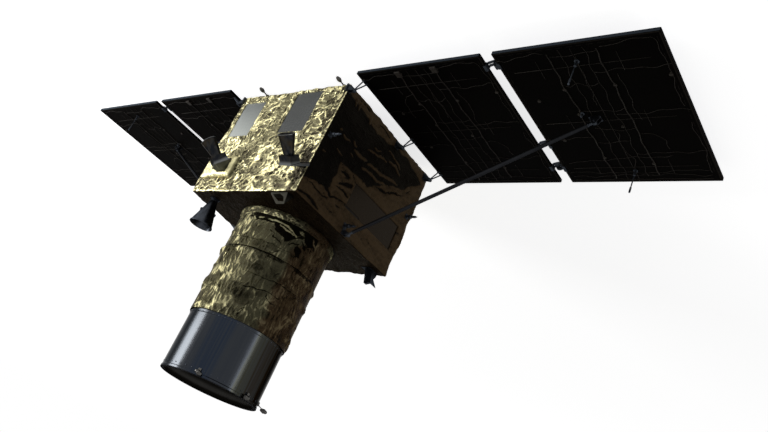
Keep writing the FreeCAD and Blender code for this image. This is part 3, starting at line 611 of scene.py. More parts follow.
class WingSettings(bpy.types.PropertyGroup):
    """Sizes and colours of the wings' wiring and cells."""
    wire: length("Wire Radius", "Radius of a single wire", 0.0012, 0.01)
    harness: length("Harness Radius", "Radius of a laced bundle of wires", 0.0026, 0.01)
    cell_x: length("Cell Length", "Length of a solar cell", 0.0795, 0.3)
    cell_y: length("Cell Width", "Width of a solar cell", 0.0395, 0.3)
    panel: tint("Panel", "Rear face of the panels", (0.0017, 0.0014, 0.0011))
    line: tint("Wiring", "Wires and tape on the panels", (0.017, 0.0145, 0.012))
    cell: tint("Cell", "Face of the solar cells", (0.006, 0.010, 0.045))


class FittingSettings(bpy.types.PropertyGroup):
    """Colours of the rigid fittings."""
    shade: tint("Sunshade", "Anodised sheet of the telescope's mouth", (0.023, 0.026, 0.032))
    bare: tint("Bare Metal", "Brackets, hinges and stand-offs", (0.030, 0.034, 0.040))
    dark: tint("Dark Metal", "Star trackers", (0.0170, 0.0165, 0.0155))
    horn: tint("Horn", "Horn antenna", (0.036, 0.040, 0.047))
    strut: tint("Strut", "Wing struts", (0.012, 0.0125, 0.0140))
    radiator: tint("Radiator", "Silvered radiator tiles", (0.072, 0.076, 0.075))
    # The side radiators' dark colour is painted shade.
    plate: tint("Side Radiator", "Dark plates at the sides", (0.0118, 0.0080, 0.0042))


class StageSettings(bpy.types.PropertyGroup):
    """Camera, lamps and floor."""
    lens: FloatProperty(name="Lens", description="Focal length of the camera", default=34.82,
                        min=10.0, max=200.0, unit="CAMERA")
    key: FloatProperty(name="Key Lamp", description="Power of the large lamp in front", default=330.0,
                       min=0.0, unit="POWER")
    fill: FloatProperty(name="Fill Lamp", description="Power of the lamp at the side", default=25.0,
                        min=0.0, unit="POWER")
    sky: FloatProperty(name="Room Light", description="Strength of the even light of the room",
                       default=0.18, min=0.0, max=2.0)
    floor: tint("Floor", "Colour of the floor", (0.80, 0.80, 0.80))


# The front blanket, as distance towards +X and height on the body: calm olive places (middle and half
# widths), creases painted black as shade (width and path), and the painted shadow of the right star
# tracker.
CALM_PLACES = ((0.045, 0.34, 0.045, 0.065), (-0.045, 0.465, 0.045, 0.060), (-0.04, 0.585, 0.048, 0.032),
               (0.11, 0.675, 0.038, 0.045), (-0.14, 0.675, 0.048, 0.030), (-0.255, 0.655, 0.045, 0.030),
               (0.215, 0.47, 0.028, 0.085), (0.03, 0.11, 0.040, 0.10), (-0.33, 0.10, 0.045, 0.055),
               (-0.40, 0.25, 0.025, 0.050), (-0.32, 0.27, 0.035, 0.040), (0.16, 0.06, 0.05, 0.025))
SHARP_CREASES = (
    (0.006, [(0.17, 0.52), (0.158, 0.545), (0.145, 0.57)]),
    (0.013, [(0.068, 0.572), (0.06, 0.598)]),
    (0.009, [(-0.163, 0.585), (-0.172, 0.607)]),
    (0.005, [(0.31, 0.325), (0.305, 0.37)]),
    (0.006, [(0.298, 0.35), (0.287, 0.42)]),
    (0.008, [(-0.292, 0.345), (-0.298, 0.405)]),
    (0.008, [(-0.322, 0.36), (-0.33, 0.415)]),
    (0.007, [(0.006, 0.145), (0.003, 0.18)]),
    (0.006, [(-0.272, 0.115), (-0.276, 0.15)]),
    (0.006, [(0.058, 0.68), (0.045, 0.695)]),
    (0.006, [(0.36, 0.665), (0.345, 0.668)]),
    (0.005, [(-0.02, 0.50), (0.015, 0.515), (0.03, 0.51)]),
    (0.005, [(-0.36, 0.20), (-0.335, 0.235)]),
    (0.005, [(-0.40, 0.15), (-0.385, 0.19)]),
    (0.004, [(0.24, 0.03), (0.225, 0.045)]),
    (0.006, [(-0.39, 0.635), (-0.405, 0.67)]),
)
TRACKER_PAINTED_SHADOW = [(-0.345, 0.452), (-0.380, 0.425), (-0.425, 0.430), (-0.412, 0.475), (-0.440, 0.50),
                (-0.440, 0.63), (-0.405, 0.655), (-0.360, 0.63), (-0.350, 0.56), (-0.365, 0.50)]
# Folds of the barrel's foil: direction round the axis in degrees and height in metres.
# Folds, tucks and hollows are painted dark as shade, and the ribs carry painted highlights.
BARREL_SEAM = 1.061
BARREL_TUCKS = (
    (0.0055, [(-118, 1.190), (-133, 1.193), (-144, 1.190), (-156, 1.183), (-169, 1.182), (-183, 1.184)]),
    (0.0065, [(-119, 1.277), (-130, 1.271), (-140, 1.261), (-150, 1.249), (-158, 1.252), (-171, 1.251)]),
    (0.0060, [(60, 1.19), (85, 1.20), (110, 1.185)]),
    (0.0060, [(-30, 1.27), (0, 1.255), (25, 1.265)]),
)
BARREL_FOLDS = (
    (0.010, [(-99, 0.895), (-112, 0.869), (-123, 0.857), (-135, 0.857), (-143, 0.868), (-151, 0.896)]),
    (0.009, [(-72, 0.918), (-77, 0.883), (-79, 0.858), (-90, 0.853)]),
    (0.006, [(-85, 0.905), (-89, 0.873), (-95, 0.866)]),
    (0.007, [(-122, 0.928), (-128, 0.941), (-130, 0.962), (-137, 0.968), (-142, 0.988)]),
    (0.006, [(-123, 0.907), (-133, 0.918), (-136, 0.935)]),
    (0.009, [(-145, 0.949), (-157, 0.896), (-170, 0.840)]),
    (0.008, [(-160, 0.905), (-166, 0.930), (-168, 0.965)]),
    (0.007, [(-150, 0.965), (-153, 0.945), (-160, 0.930)]),
    (0.005, [(-139, 1.336), (-134, 1.39), (-129, 1.437)]),
    (0.005, [(-137, 1.376), (-134, 1.449)]),
    (0.005, [(-144, 1.12), (-148, 1.15)]),
    (0.005, [(-156, 1.13), (-150, 1.165)]),
    (0.006, [(-150, 1.26), (-156, 1.29), (-166, 1.30)]),
    (0.005, [(-128, 1.13), (-137, 1.15)]),
    (0.006, [(-175, 0.90), (-178, 0.95)]),
    (0.005, [(-177, 1.00), (177, 1.02)]),
    (0.005, [(-90, 0.95), (-93, 1.02)]),
    (0.005, [(-82, 1.10), (-84, 1.16)]),
    (0.005, [(-92, 1.30), (-95, 1.38)]),
    (0.009, [(40, 0.90), (55, 0.88), (75, 0.90)]),
    (0.007, [(100, 0.95), (112, 0.90), (130, 0.87)]),
    (0.008, [(-40, 0.87), (-20, 0.90), (0, 0.88)]),
)
BARREL_HOLLOWS = (
    [(-122, 0.872), (-142, 0.862), (-154, 0.908), (-149, 0.948), (-143, 0.962), (-139, 0.938),
     (-131, 0.932)],
    [(-86, 0.872), (-108, 0.860), (-125, 0.850), (-148, 0.852), (-160, 0.880), (-151, 0.912),
     (-146, 0.884), (-128, 0.885), (-110, 0.892), (-96, 0.884)],
    [(-158, 0.868), (-170, 0.845), (-190, 0.845), (-192, 0.905), (-181, 0.940), (-177, 0.905),
     (-169, 0.925), (-163, 0.900)],
    [(-154, 0.960), (-158, 0.935), (-164, 0.950), (-166, 1.000), (-160, 1.010)],
    [(20, 0.850), (60, 0.852), (72, 0.892), (45, 0.905)])
BARREL_RIBS = (
    (0.006, [(-104, 0.872), (-118, 0.868), (-134, 0.868), (-146, 0.884), (-155, 0.915)]),
    (0.005, [(-131, 0.880), (-139, 0.893), (-149, 0.899)]),
    (0.005, [(-172, 0.862), (-176, 0.885), (-186, 0.900)]),
    (0.004, [(-92, 0.862), (-99, 0.885)]))
BARREL_DULL = ((-129, 1.335, 11, 0.045), (-132, 1.14, 8, 0.030), (-133, 1.01, 6, 0.020),
               (-143, 1.285, 6, 0.018), (-118, 1.02, 7, 0.03), (-75, 1.14, 6, 0.03))

# Folds of the side blankets: distance along the wing's hinge line and height on the body, in metres.
# The first outline is a large area of painted shade; the raised folds carry painted highlights and the sunk
# folds painted shade.
SIDE_PAINTED_SHADE = [(-0.44, 0.035), (-0.33, 0.05), (-0.20, 0.06), (-0.10, 0.09), (0.08, 0.055), (0.17, 0.04),
              (0.30, 0.06), (0.39, 0.085), (0.28, 0.20), (0.12, 0.29), (0.01, 0.38), (-0.24, 0.40),
              (-0.25, 0.57), (-0.44, 0.62)]
RAISED_FOLDS = (
    (0.009, [(-0.12, 0.205), (-0.02, 0.178), (0.045, 0.165)]),
    (0.012, [(0.055, 0.15), (0.125, 0.145), (0.20, 0.17)]),
    (0.008, [(0.03, 0.105), (0.09, 0.105), (0.175, 0.14)]),
    (0.008, [(-0.078, 0.166), (-0.028, 0.146)]),
    (0.018, [(-0.205, 0.277), (-0.09, 0.27)]),
    (0.015, [(-0.075, 0.285), (0.07, 0.25), (0.205, 0.222)]),
    (0.007, [(-0.365, 0.25), (-0.345, 0.25)]),
    (0.011, [(-0.315, 0.26), (-0.265, 0.272)]),
    (0.011, [(-0.24, 0.25), (-0.20, 0.25)]),
    (0.013, [(-0.11, 0.325), (0.05, 0.31), (0.28, 0.25)]),
    (0.007, [(-0.215, 0.32), (-0.185, 0.325)]),
    (0.008, [(-0.31, 0.36), (-0.265, 0.37)]),
    (0.007, [(-0.395, 0.425), (-0.37, 0.42)]),
    (0.013, [(-0.24, 0.405), (-0.12, 0.40)]),
    (0.012, [(-0.34, 0.03), (-0.33, 0.075)]),
    (0.010, [(-0.305, 0.03), (-0.30, 0.08)]),
    (0.014, [(-0.20, 0.03), (-0.185, 0.08)]),
)
SUNK_FOLDS = (
    (0.009, [(-0.38, 0.60), (-0.28, 0.57), (-0.20, 0.59), (-0.09, 0.555)]),
    (0.007, [(-0.38, 0.62), (-0.27, 0.625), (-0.215, 0.605)]),
    (0.009, [(0.07, 0.335), (0.13, 0.33), (0.17, 0.305), (0.28, 0.245)]),
    (0.013, [(-0.215, 0.43), (-0.14, 0.43)]),
    (0.017, [(-0.20, 0.50), (-0.13, 0.47), (-0.09, 0.45)]),
    (0.009, [(-0.21, 0.525), (-0.10, 0.52)]),
    (0.012, [(-0.42, 0.70), (-0.36, 0.685), (-0.25, 0.695)]),
    (0.006, [(-0.11, 0.035), (0.0, 0.035)]),
    (0.006, [(-0.26, 0.025), (-0.22, 0.022)]),
    (0.005, [(0.30, 0.21), (0.335, 0.18)]),
    (0.006, [(-0.15, 0.617), (-0.105, 0.614)]),
)


# Where the camera stands, and which way its right side and its lower side point.
CAMERA_PLACE = (-3.262932, -2.504223, 2.286495)
CAMERA_RIGHT = Vector((-0.75466, 0.53549, -0.37913))
CAMERA_DOWN = Vector((-0.02075, 0.55808, 0.82953))


# --- operators ------------------------------------------------------------------------
class SATELLITE_OT_stage(bpy.types.Operator):
    """Set up the camera, the lamps and the floor"""
    bl_idname = "satellite.stage"
    bl_label = "Stage"

    def execute(self, context):
        settings = context.scene.satellite_stage
        scene = context.scene
        camera_data = bpy.data.cameras.new("camera")
        camera_data.lens = settings.lens
        camera_data.sensor_width = 36.0
        camera_data.clip_end = 200.0
        camera = bpy.data.objects.new("camera", camera_data)
        scene.collection.objects.link(camera)
        forward = CAMERA_RIGHT.cross(CAMERA_DOWN).normalized()
        turn = Matrix((CAMERA_RIGHT, -CAMERA_DOWN, -forward)).transposed()
        camera.matrix_world = Matrix.Translation(CAMERA_PLACE) @ turn.to_4x4()
        scene.camera = camera
        self.lamps(scene, settings)
        self.room(scene, settings)
        self.floor(settings)
        scene.view_settings.view_transform = "Standard"
        return {"FINISHED"}

    def lamps(self, scene, settings):
        spots = (("key_lamp", settings.key, (3.9, -3.7, 1.1), (2.4, 1.7)),
                 ("fill_lamp", settings.fill, (-4.6, 0.6, 1.0), (0.7, 2.2)))
        for name, power, place, size in spots:
            data = bpy.data.lights.new(name, "AREA")
            data.energy = power
            data.shape = "RECTANGLE"
            data.size, data.size_y = size
            lamp = bpy.data.objects.new(name, data)
            scene.collection.objects.link(lamp)
            lamp.location = place
            aim = Vector((0, 0, 0.8)) - Vector(place)
            lamp.rotation_euler = aim.to_track_quat("-Z", "Y").to_euler()
            lamp.visible_camera = False

    def room(self, scene, settings):
        """Even light, with white behind everything that is seen directly."""
        scene.world = bpy.data.worlds.new("room")
        nodes = Nodes(scene.world)
        strength = nodes.node("ShaderNodeMix", {"data_type": "FLOAT"},
                              {0: nodes.seen_directly(), 2: settings.sky, 3: 1.0})
        light = nodes.node("ShaderNodeBackground", {},
                           {"Color": (1, 1, 1), "Strength": strength.outputs[0]})
        nodes.node("ShaderNodeOutputWorld", {}, {"Surface": light.outputs[0]})

    def floor(self, settings):
        """A wide matt floor that glows a little to those who see it directly, more so far out."""
        reach = 40.0
        corners = [(-reach, -reach, 0), (reach, -reach, 0), (reach, reach, 0), (-reach, reach, 0)]
        floor = mesh_object("floor", corners, [[0, 1, 2, 3]], smooth=False)
        floor.location.z = -0.0006
        material = bpy.data.materials.new("floor")
        nodes = Nodes(material)
        matt = nodes.node("ShaderNodeBsdfDiffuse", {}, {"Color": settings.floor})
        place = nodes.node("ShaderNodeNewGeometry").outputs["Position"]
        away = nodes.node("ShaderNodeVectorMath", {"operation": "LENGTH"}, {0: place})
        rise = nodes.node("ShaderNodeMapRange", {},
                          {"Value": away.outputs["Value"], "From Min": 2.0, "From Max": 9.0,
                           "To Min": 0.76, "To Max": 0.90})
        glow = nodes.node("ShaderNodeEmission", {}, {"Strength": rise.outputs["Result"]})
        both = nodes.node("ShaderNodeAddShader", {}, {0: matt.outputs[0], 1: glow.outputs[0]})
        mix = nodes.node("ShaderNodeMixShader", {},
                         {0: nodes.seen_directly(), 1: matt.outputs[0], 2: both.outputs[0]})
        nodes.node("ShaderNodeOutputMaterial", {}, {"Surface": mix.outputs[0]})
        floor.data.materials.append(material)


def windows_on(axis, sign, nodes, margin=0.0015):
    """Outlines, in the two other axes, of what stands on one face of the body."""
    others = [i for i in range(3) if i != axis]
    face = BUS_MID[axis] + sign * BUS_HALF[axis]
    found = []
    for node in nodes:
        for solid in solids_of(node):
            height = sign * (solid[:, axis] - face)
            touching = solid[(height > -FOIL_THICK * 1.4) & (height < 0.0035)]
            if len(touching) > 2 and height.min() < 0.001:
                low, high = touching[:, others].min(0) - margin, touching[:, others].max(0) + margin
                found.append((low[0], high[0], low[1], high[1]))
    return found


def border_distance(u, v, window):
    """Distance outside a window's outline."""
    u0, u1, v0, v1 = window
    return np.hypot(np.maximum(np.maximum(u0 - u, u - u1), 0), np.maximum(np.maximum(v0 - v, v - v1), 0))


def clear_of(u, v, windows):
    """Which quads of a grid have their middle outside every window."""
    mid_u, mid_v = (u[:-1, :-1] + u[1:, 1:]) / 2, (v[:-1, :-1] + v[1:, 1:]) / 2
    keep = np.ones(mid_u.shape, bool)
    for u0, u1, v0, v1 in windows:
        keep &= ~((mid_u > u0) & (mid_u < u1) & (mid_v > v0) & (mid_v < v1))
    return keep


def sheet(name, points, quads, base, marks, fold=None):
    """A mesh of foil with a hem behind its edges and named numbers on its points."""
    points, quads, source = hemmed(points, quads, base, fold)
    points, quads, source = trimmed(points, quads, source)
    return mesh_object(name, points, quads, {key: values[source] for key, values in marks.items()})


def blanket(name, axis, sign, step, edge_radius, relief, windows, hole=0.0):
    """A crinkled blanket over one face of the body, folded over its edges and cut round its windows.

    relief gives height, tone and depth from two arrays of coordinates on the face. hole is the
    radius of a round opening about the telescope's axis."""
    first, second = [i for i in range(3) if i != axis]
    half, mid = BUS_HALF, BUS_MID
    stops_u = [w[i] for w in windows for i in (0, 1)]
    stops_v = [w[i] for w in windows for i in (2, 3)]
    edge = [edge_radius * s for s in (0.0, 0.33, 0.7, 1.3)]
    lines_u = gridlines(mid[first] - half[first], mid[first] + half[first], step,
                        stops_u + [mid[first] + w * (half[first] - e) for e in edge for w in (-1, 1)])
    lines_v = gridlines(mid[second] - half[second], mid[second] + half[second], step,
                        stops_v + [mid[second] + w * (half[second] - e) for e in edge for w in (-1, 1)])
    v, u = np.meshgrid(lines_v, lines_u, indexing="ij")
    if hole:
        reach = np.hypot(u, v)
        snap = np.abs(reach - hole) < 0.72 * step
        u = np.where(snap, u * hole / np.maximum(reach, 1e-6), u)
        v = np.where(snap, v * hole / np.maximum(reach, 1e-6), v)
    keep = clear_of(u, v, windows)
    if hole:
        out_of = np.hypot(u, v) > hole - 1e-5
        keep &= out_of[:-1, :-1] & out_of[1:, :-1] & out_of[:-1, 1:] & out_of[1:, 1:]
    flat = np.zeros((u.size, 3))
    flat[:, first], flat[:, second] = u.ravel(), v.ravel()
    flat[:, axis] = mid[axis] + sign * half[axis]
    core = mid + np.clip(flat - mid, -(half - edge_radius), half - edge_radius)
    out = flat - core
    out /= np.linalg.norm(out, axis=1)[:, None]
    surface = core + out * edge_radius

    u, v = u.ravel(), v.ravel()
    height, tone, depth = relief(u, v)
    from_edge = np.minimum(half[first] - np.abs(u - mid[first]), half[second] - np.abs(v - mid[second]))
    inner = ramp(from_edge, 0.0, 0.022)
    along = surface @ np.array([1.0, 0.93, 0.87])
    ruffle = 0.0050 * swell(along / 0.055, along * 0, 11) + 0.0022 * swell(along / 0.019, along * 0, 12)
    height = height * inner + ruffle * (1 - inner)
    at_border = np.zeros(len(u), bool)
    for window in windows:
        gap = border_distance(u, v, window)
        height = height * (0.35 + 0.65 * ramp(gap, 0.0, 0.014))
        at_border |= gap < 1e-4
    if hole:
        at_border |= np.hypot(u, v) < hole + 0.9 * step
    height = np.clip(height, *RELIEF_LIMITS)
    points = surface + out * height[:, None]
    base = surface - out * (FOIL_THICK - 0.0003)
    quads = grid_faces(len(lines_v), len(lines_u), keep)
    if (sign > 0) == (axis == 1):
        quads = quads[:, ::-1]
    return sheet(name, points, quads, base, {"tone": tone, "depth": depth}, at_border)


class SATELLITE_OT_body_foil(bpy.types.Operator):
    """Wrap the six faces of the body in crinkled foil"""
    bl_idname = "satellite.body_foil"
    bl_label = "Body Foil"

    def execute(self, context):
        foil = context.scene.satellite_foil
        gold = foil_finish("front_foil", foil.dark, foil.mid, foil.light, 0.78, 0.17, 0.2,
                           (0.02, 0.30, 0.46, 0.90), (0.14, 0.05), bumps=0.4)
        # The side and deck foils are coloured brown and near black as painted shade, for faces turned from
        # the light.
        brown = foil_finish("side_foil", foil.shadow_black, shaded(foil.brown, 0.6), shaded(foil.brown, 1.25),
                            0.25, 0.36, 0.015, (0.05, 0.5, 0.50, 1.05), (0.22, 0.22))
        deck = foil_finish("deck_foil", shaded(foil.shadow_black, 0.5), shaded(foil.brown, 0.16),
                           shaded(foil.brown, 0.36), 0.1, 0.4, 0.006)
        plates = windows_on(1, -1, ("radiators",))
        self.foil = foil

        def front(u, v):
            return self.front(u, v, plates)

        def back(u, v):
            return self.front(-u, v, plates)

        def other_side(u, v):
            return self.side(-u, v)

        feet = ("hold_down_stubs", "strut_feet", "root_hinge_brackets")
        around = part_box("separation_ring")[1].x + 0.004
        collar_hole = COLLAR_HIGH.x + 0.002
        jobs = (("foil_front", 1, -1, front, gold, foil.grid * 0.78, 0.0,
                 ("radiators", "star_tracker_brackets", "star_tracker_skirt", "edge_sensors")),
                ("foil_back", 1, 1, back, gold, foil.grid * 1.2, 0.0, ("radiators",)),
                ("foil_left", 0, 1, other_side, brown, foil.grid * 1.2, 0.0, ("radiators",) + feet),
                ("foil_right", 0, -1, self.side, brown, foil.grid * 0.85, 0.0, ("radiators",) + feet),
                ("foil_nadir", 2, 1, self.calm, deck, foil.grid * 1.1, collar_hole,
                 ("horn_plinth", "nadir_bracket_front", "nadir_bracket_back")),
                ("foil_zenith", 2, -1, self.calm, deck, foil.grid * 1.5, around, ("edge_sensors",)))
        for name, axis, sign, relief, material, step, hole, nodes in jobs:
            windows = windows_on(axis, sign, nodes)
            piece = blanket(name, axis, sign, step, foil.edge, relief, windows, hole)
            finish_piece(piece, "bus", material, ("foil_blankets",))
        self.skirt(gold)
        return {"FINISHED"}

    def front(self, u, v, plates):
        """Flat olive islands in a web of ridges with painted highlights, long folds beside the radiators.
        """
        deep, size = self.foil.depth, self.foil.grain
        broad = swell(u / 0.11, v / 0.09, 9)
        beside = np.min([border_distance(u, v, plate) for plate in plates], axis=0)
        pull = ramp(0.08 - beside, 0.0, 0.06) * ramp(broad + 0.5 * swell(u / 0.05, v / 0.05, 8), -0.6, 0.4)
        width = 0.20 + 0.26 * ramp(broad, -0.2, 0.8)

        def shape(u, v):
            ridge, luck = web((u + 0.35 * v) / size, (v - 0.35 * u) / size * 1.25, 3, width, 0.8)
            thin, thin_luck = web((u + 0.2 * v) / 0.024, (v - 0.2 * u) / 0.018, 23, 0.36, 0.8)
            drawn, drawn_luck = web((u + 0.12 * v) / 0.017, v / 0.060, 43, 0.5, 0.5)
            ridge = ridge * (1 - pull) + drawn * pull
            tilt = (luck - 0.5) * swell(u / 0.026, v / 0.026, 19)
            height = 0.66 * ridge + 0.18 * thin + 0.40 * tilt + 0.60 * swell(u / 0.035, v / 0.03, 29)
            return height, ridge, luck, thin, thin_luck, drawn, drawn_luck

        form, ridge, luck, thin, thin_luck, drawn, drawn_luck = shape(u, v)
        # The slope paints light on the crinkles' flanks that face one way and shade on those that face the
        # other.
        slope = (shape(u - 0.0042, v + 0.0048)[0] - shape(u + 0.0042, v - 0.0048)[0]) * 0.95
        x = u + 0.016 * swell(u / 0.035, v / 0.035, 5) + 0.005 * swell(u / 0.012, v / 0.012, 6)
        h = v - BUS_LOW.z + 0.016 * swell(u / 0.035, v / 0.035, 7) + 0.005 * swell(u / 0.012, v / 0.012, 4)
        calm = patches(x, h, CALM_PLACES)
        # How strongly the ridges carry their painted highlights; whole islands may be painted bright too.
        painted_shading = 0.16 + 0.84 * ramp(swell(u / 0.030, v / 0.024, 13) + 0.4 * broad, -0.35, 0.5)
        fill = ramp(luck + 0.30 * broad, 0.74, 0.98) * (1 - pull)
        bright = np.maximum(ridge * painted_shading, np.maximum(0.26 * thin * ramp(thin_luck, 0.5, 0.9), 0.75 * fill))
        bright = bright * (1 - 0.85 * calm)
        top_edge = ramp(h, 0.690, 0.706) * (0.62 + 0.35 * swell(u / 0.03, v / 0.008, 51))
        right_edge = 0.8 * ramp(-u, 0.436, 0.441)
        bright = np.maximum(bright, np.maximum(top_edge, right_edge))
        low_end = ramp(h, 0.42, 0.70)
        tone = 0.35 - 0.11 * low_end + 0.18 * (luck - 0.5) + 0.06 * swell(u / 0.018, v / 0.018, 15)
        tone += (0.66 - 0.16 * low_end) * bright + 0.44 * np.clip(slope, -0.9, 0.9) * (1 - 0.6 * calm)
        tone = 0.46 + 1.3 * (tone - 0.46) - 0.25 * ramp(-u, 0.26, 0.42)
        # Painted shade: dark pits, dark streaks in the drawn folds, the creases painted black, the right
        # star tracker's painted shadow and the flanks turned from the light.
        at_x, at_y = pushed(u / 0.026, v / 0.032, 0.5, 61)
        near, _, spot_luck = cells(at_x, at_y, 61)
        spots = ramp(0.30 - near, 0.0, 0.1) * (spot_luck > 0.86 - 0.09 * low_end) * (1 - calm)
        streaks = ramp(0.4 - drawn, 0.0, 0.3) * pull * (drawn_luck > 0.86)
        sharp_x, sharp_h = x * 0.3 + u * 0.7, h * 0.3 + (v - BUS_LOW.z) * 0.7
        painted_dark = ramp(inside(sharp_x, sharp_h, TRACKER_PAINTED_SHADOW), -0.004, 0.005)
        dark = np.maximum(np.maximum(spots, streaks), strokes(sharp_x, sharp_h, SHARP_CREASES))
        dark = np.maximum(dark, painted_dark * (1 - 0.30 * ramp(thin, 0.6, 0.9) * (thin_luck > 0.8)))
        dark = np.maximum(dark, 0.85 * ramp(-slope, 0.90, 1.25) * (1 - calm))
        height = deep * (form * 0.8 - 0.50 + 0.35 * broad - 0.4 * dark - 0.1 * calm)
        return height, np.clip(tone, 0, 1), 1 - 0.96 * dark

    def side(self, u, v):
        """Flat foil painted brown as shade, with a large black area of painted shade, painted highlights on
        its raised folds and painted shade in its sunk folds.
        """
        deep, size = self.foil.depth, self.foil.grain * 1.8
        wave = crumple((u * 0.45 + 0.3 * v) / size, (v * 1.35 - 0.15 * u) / size, 31, 0.8)
        fine = crumple(u / 0.02, v / 0.02, 33, 0.6)
        broad = swell(u / 0.25, v / 0.12, 35)
        x = u + 0.009 * swell(u / 0.05, v / 0.05, 37) + 0.004 * swell(u / 0.015, v / 0.015, 38)
        h = v - BUS_LOW.z + 0.009 * swell(u / 0.05, v / 0.05, 39) + 0.004 * swell(u / 0.015, v / 0.015, 40)
        painted_dark = ramp(inside(x, h, SIDE_PAINTED_SHADE), -0.005, 0.007)
        raised, sunk = strokes(x, h, RAISED_FOLDS), strokes(x, h, SUNK_FOLDS)
        drawn, drawn_luck = web((u + 0.25 * v) / 0.09, (v - 0.12 * u) / 0.022, 47, 0.42, 0.7)
        faint = painted_dark * drawn * (drawn_luck > 0.66)
        height = deep * (0.3 * wave + 0.14 * fine + 0.3 * broad + 0.6 * raised - 0.6 * sunk
                         + 0.20 * faint - 0.1 * painted_dark)
        # Painted shade: the black area, the sunk folds and the low places of the crinkles; the raised folds
        # and faint lines are painted highlights.
        shade = np.clip(np.maximum(painted_dark - np.maximum(raised, 0.16 * faint), sunk), 0, 1)
        shade = np.maximum(shade, 0.8 * ramp(-wave - 0.5 * fine, 0.40, 0.62) * (1 - painted_dark))
        tone = 0.80 + (0.42 * wave + 0.34 * fine) * (1 - painted_dark) - 0.98 * shade
        rim = np.minimum(BUS_HALF[1] - np.abs(u), BUS_HALF[2] - np.abs(v - BUS_MID[2]))
        tone = np.maximum(tone, 0.75 * ramp(0.005 - rim, 0.0, 0.003))
        return height, np.clip(tone, 0, 1), np.ones(u.shape)

    def calm(self, u, v):
        """Nearly flat foil with long shallow wrinkles."""
        deep, size = self.foil.depth, self.foil.grain * 1.6
        wave = crumple(u / size, v / size, 51, 0.8)
        drawn, luck = web((u + v) / 0.14, (v - u) / 0.035, 57, 0.3, 0.8)
        height = deep * (0.4 * wave + 0.3 * swell(u / 0.3, v / 0.3, 55) + 0.2 * drawn)
        # Painted light on the wrinkles' high places and painted shade in their lowest valleys.
        tone = 0.50 + 0.3 * wave + 0.25 * drawn * (luck > 0.6)
        return height, np.clip(tone, 0, 1), ramp(wave, -1.0, -0.5)

    def skirt(self, gold):
        """Smooth low pyramid of foil round the foot of the left star tracker."""
        solid = points_of("star_tracker_skirt")
        top = solid[:, 1].min()
        low, high = solid[:, (0, 2)].min(0), solid[:, (0, 2)].max(0)
        flat_top = solid[solid[:, 1] < top + 1e-4][:, (0, 2)]
        crest_low, crest_high = flat_top.min(0), flat_top.max(0)
        ring = 0.0068
        window = (crest_low[0] + ring, crest_high[0] - ring, crest_low[1] + ring, crest_high[1] - ring)
        lines_u = gridlines(low[0], high[0], 0.0035, (window[0], window[1], crest_low[0], crest_high[0]))
        lines_v = gridlines(low[1], high[1], 0.0035, (window[2], window[3], crest_low[1], crest_high[1]))
        v, u = np.meshgrid(lines_v, lines_u, indexing="ij")
        keep = clear_of(u, v, (window,))
        u, v = u.ravel(), v.ravel()
        sides = ((u - low[0]) / (crest_low[0] - low[0]), (high[0] - u) / (high[0] - crest_high[0]),
                 (v - low[1]) / (crest_low[1] - low[1]), (high[1] - v) / (high[1] - crest_high[1]))
        soft = np.clip(sides, 0.0, 1.0)
        rise = np.clip(np.prod(soft, axis=0) ** 0.5, 0, 1)
        wave = crumple(u / 0.06, v / 0.05, 83, 0.6)
        face = BUS_LOW.y + 0.0005
        lift = (face - top) * (rise ** 0.85) + 0.0022 * wave * ramp(rise, 0.0, 0.3)
        points = np.stack([u, face - np.maximum(lift, -0.002), v], 1)
        base = np.stack([u, np.full(u.shape, face + FOIL_THICK - 0.001), v], 1)
        quads = grid_faces(len(lines_v), len(lines_u), keep)
        folds, fold_luck = web(u / 0.03, v / 0.05, 87, 0.3)
        # Painted shade on the skirt's flank towards -X and in the folds of its lower slopes.
        tone = 0.80 + 0.20 * wave - 0.30 * ramp(0.45 - sides[0], 0.0, 0.4)
        tone = np.clip(tone - 0.35 * folds * (fold_luck > 0.5) * ramp(0.6 - rise, 0.0, 0.4), 0.25, 1)
        piece = sheet("skirt_foil", points, quads, base, {"tone": tone, "depth": np.ones(tone.shape)})
        finish_piece(piece, "bus", gold, ("star_tracker_skirt",))


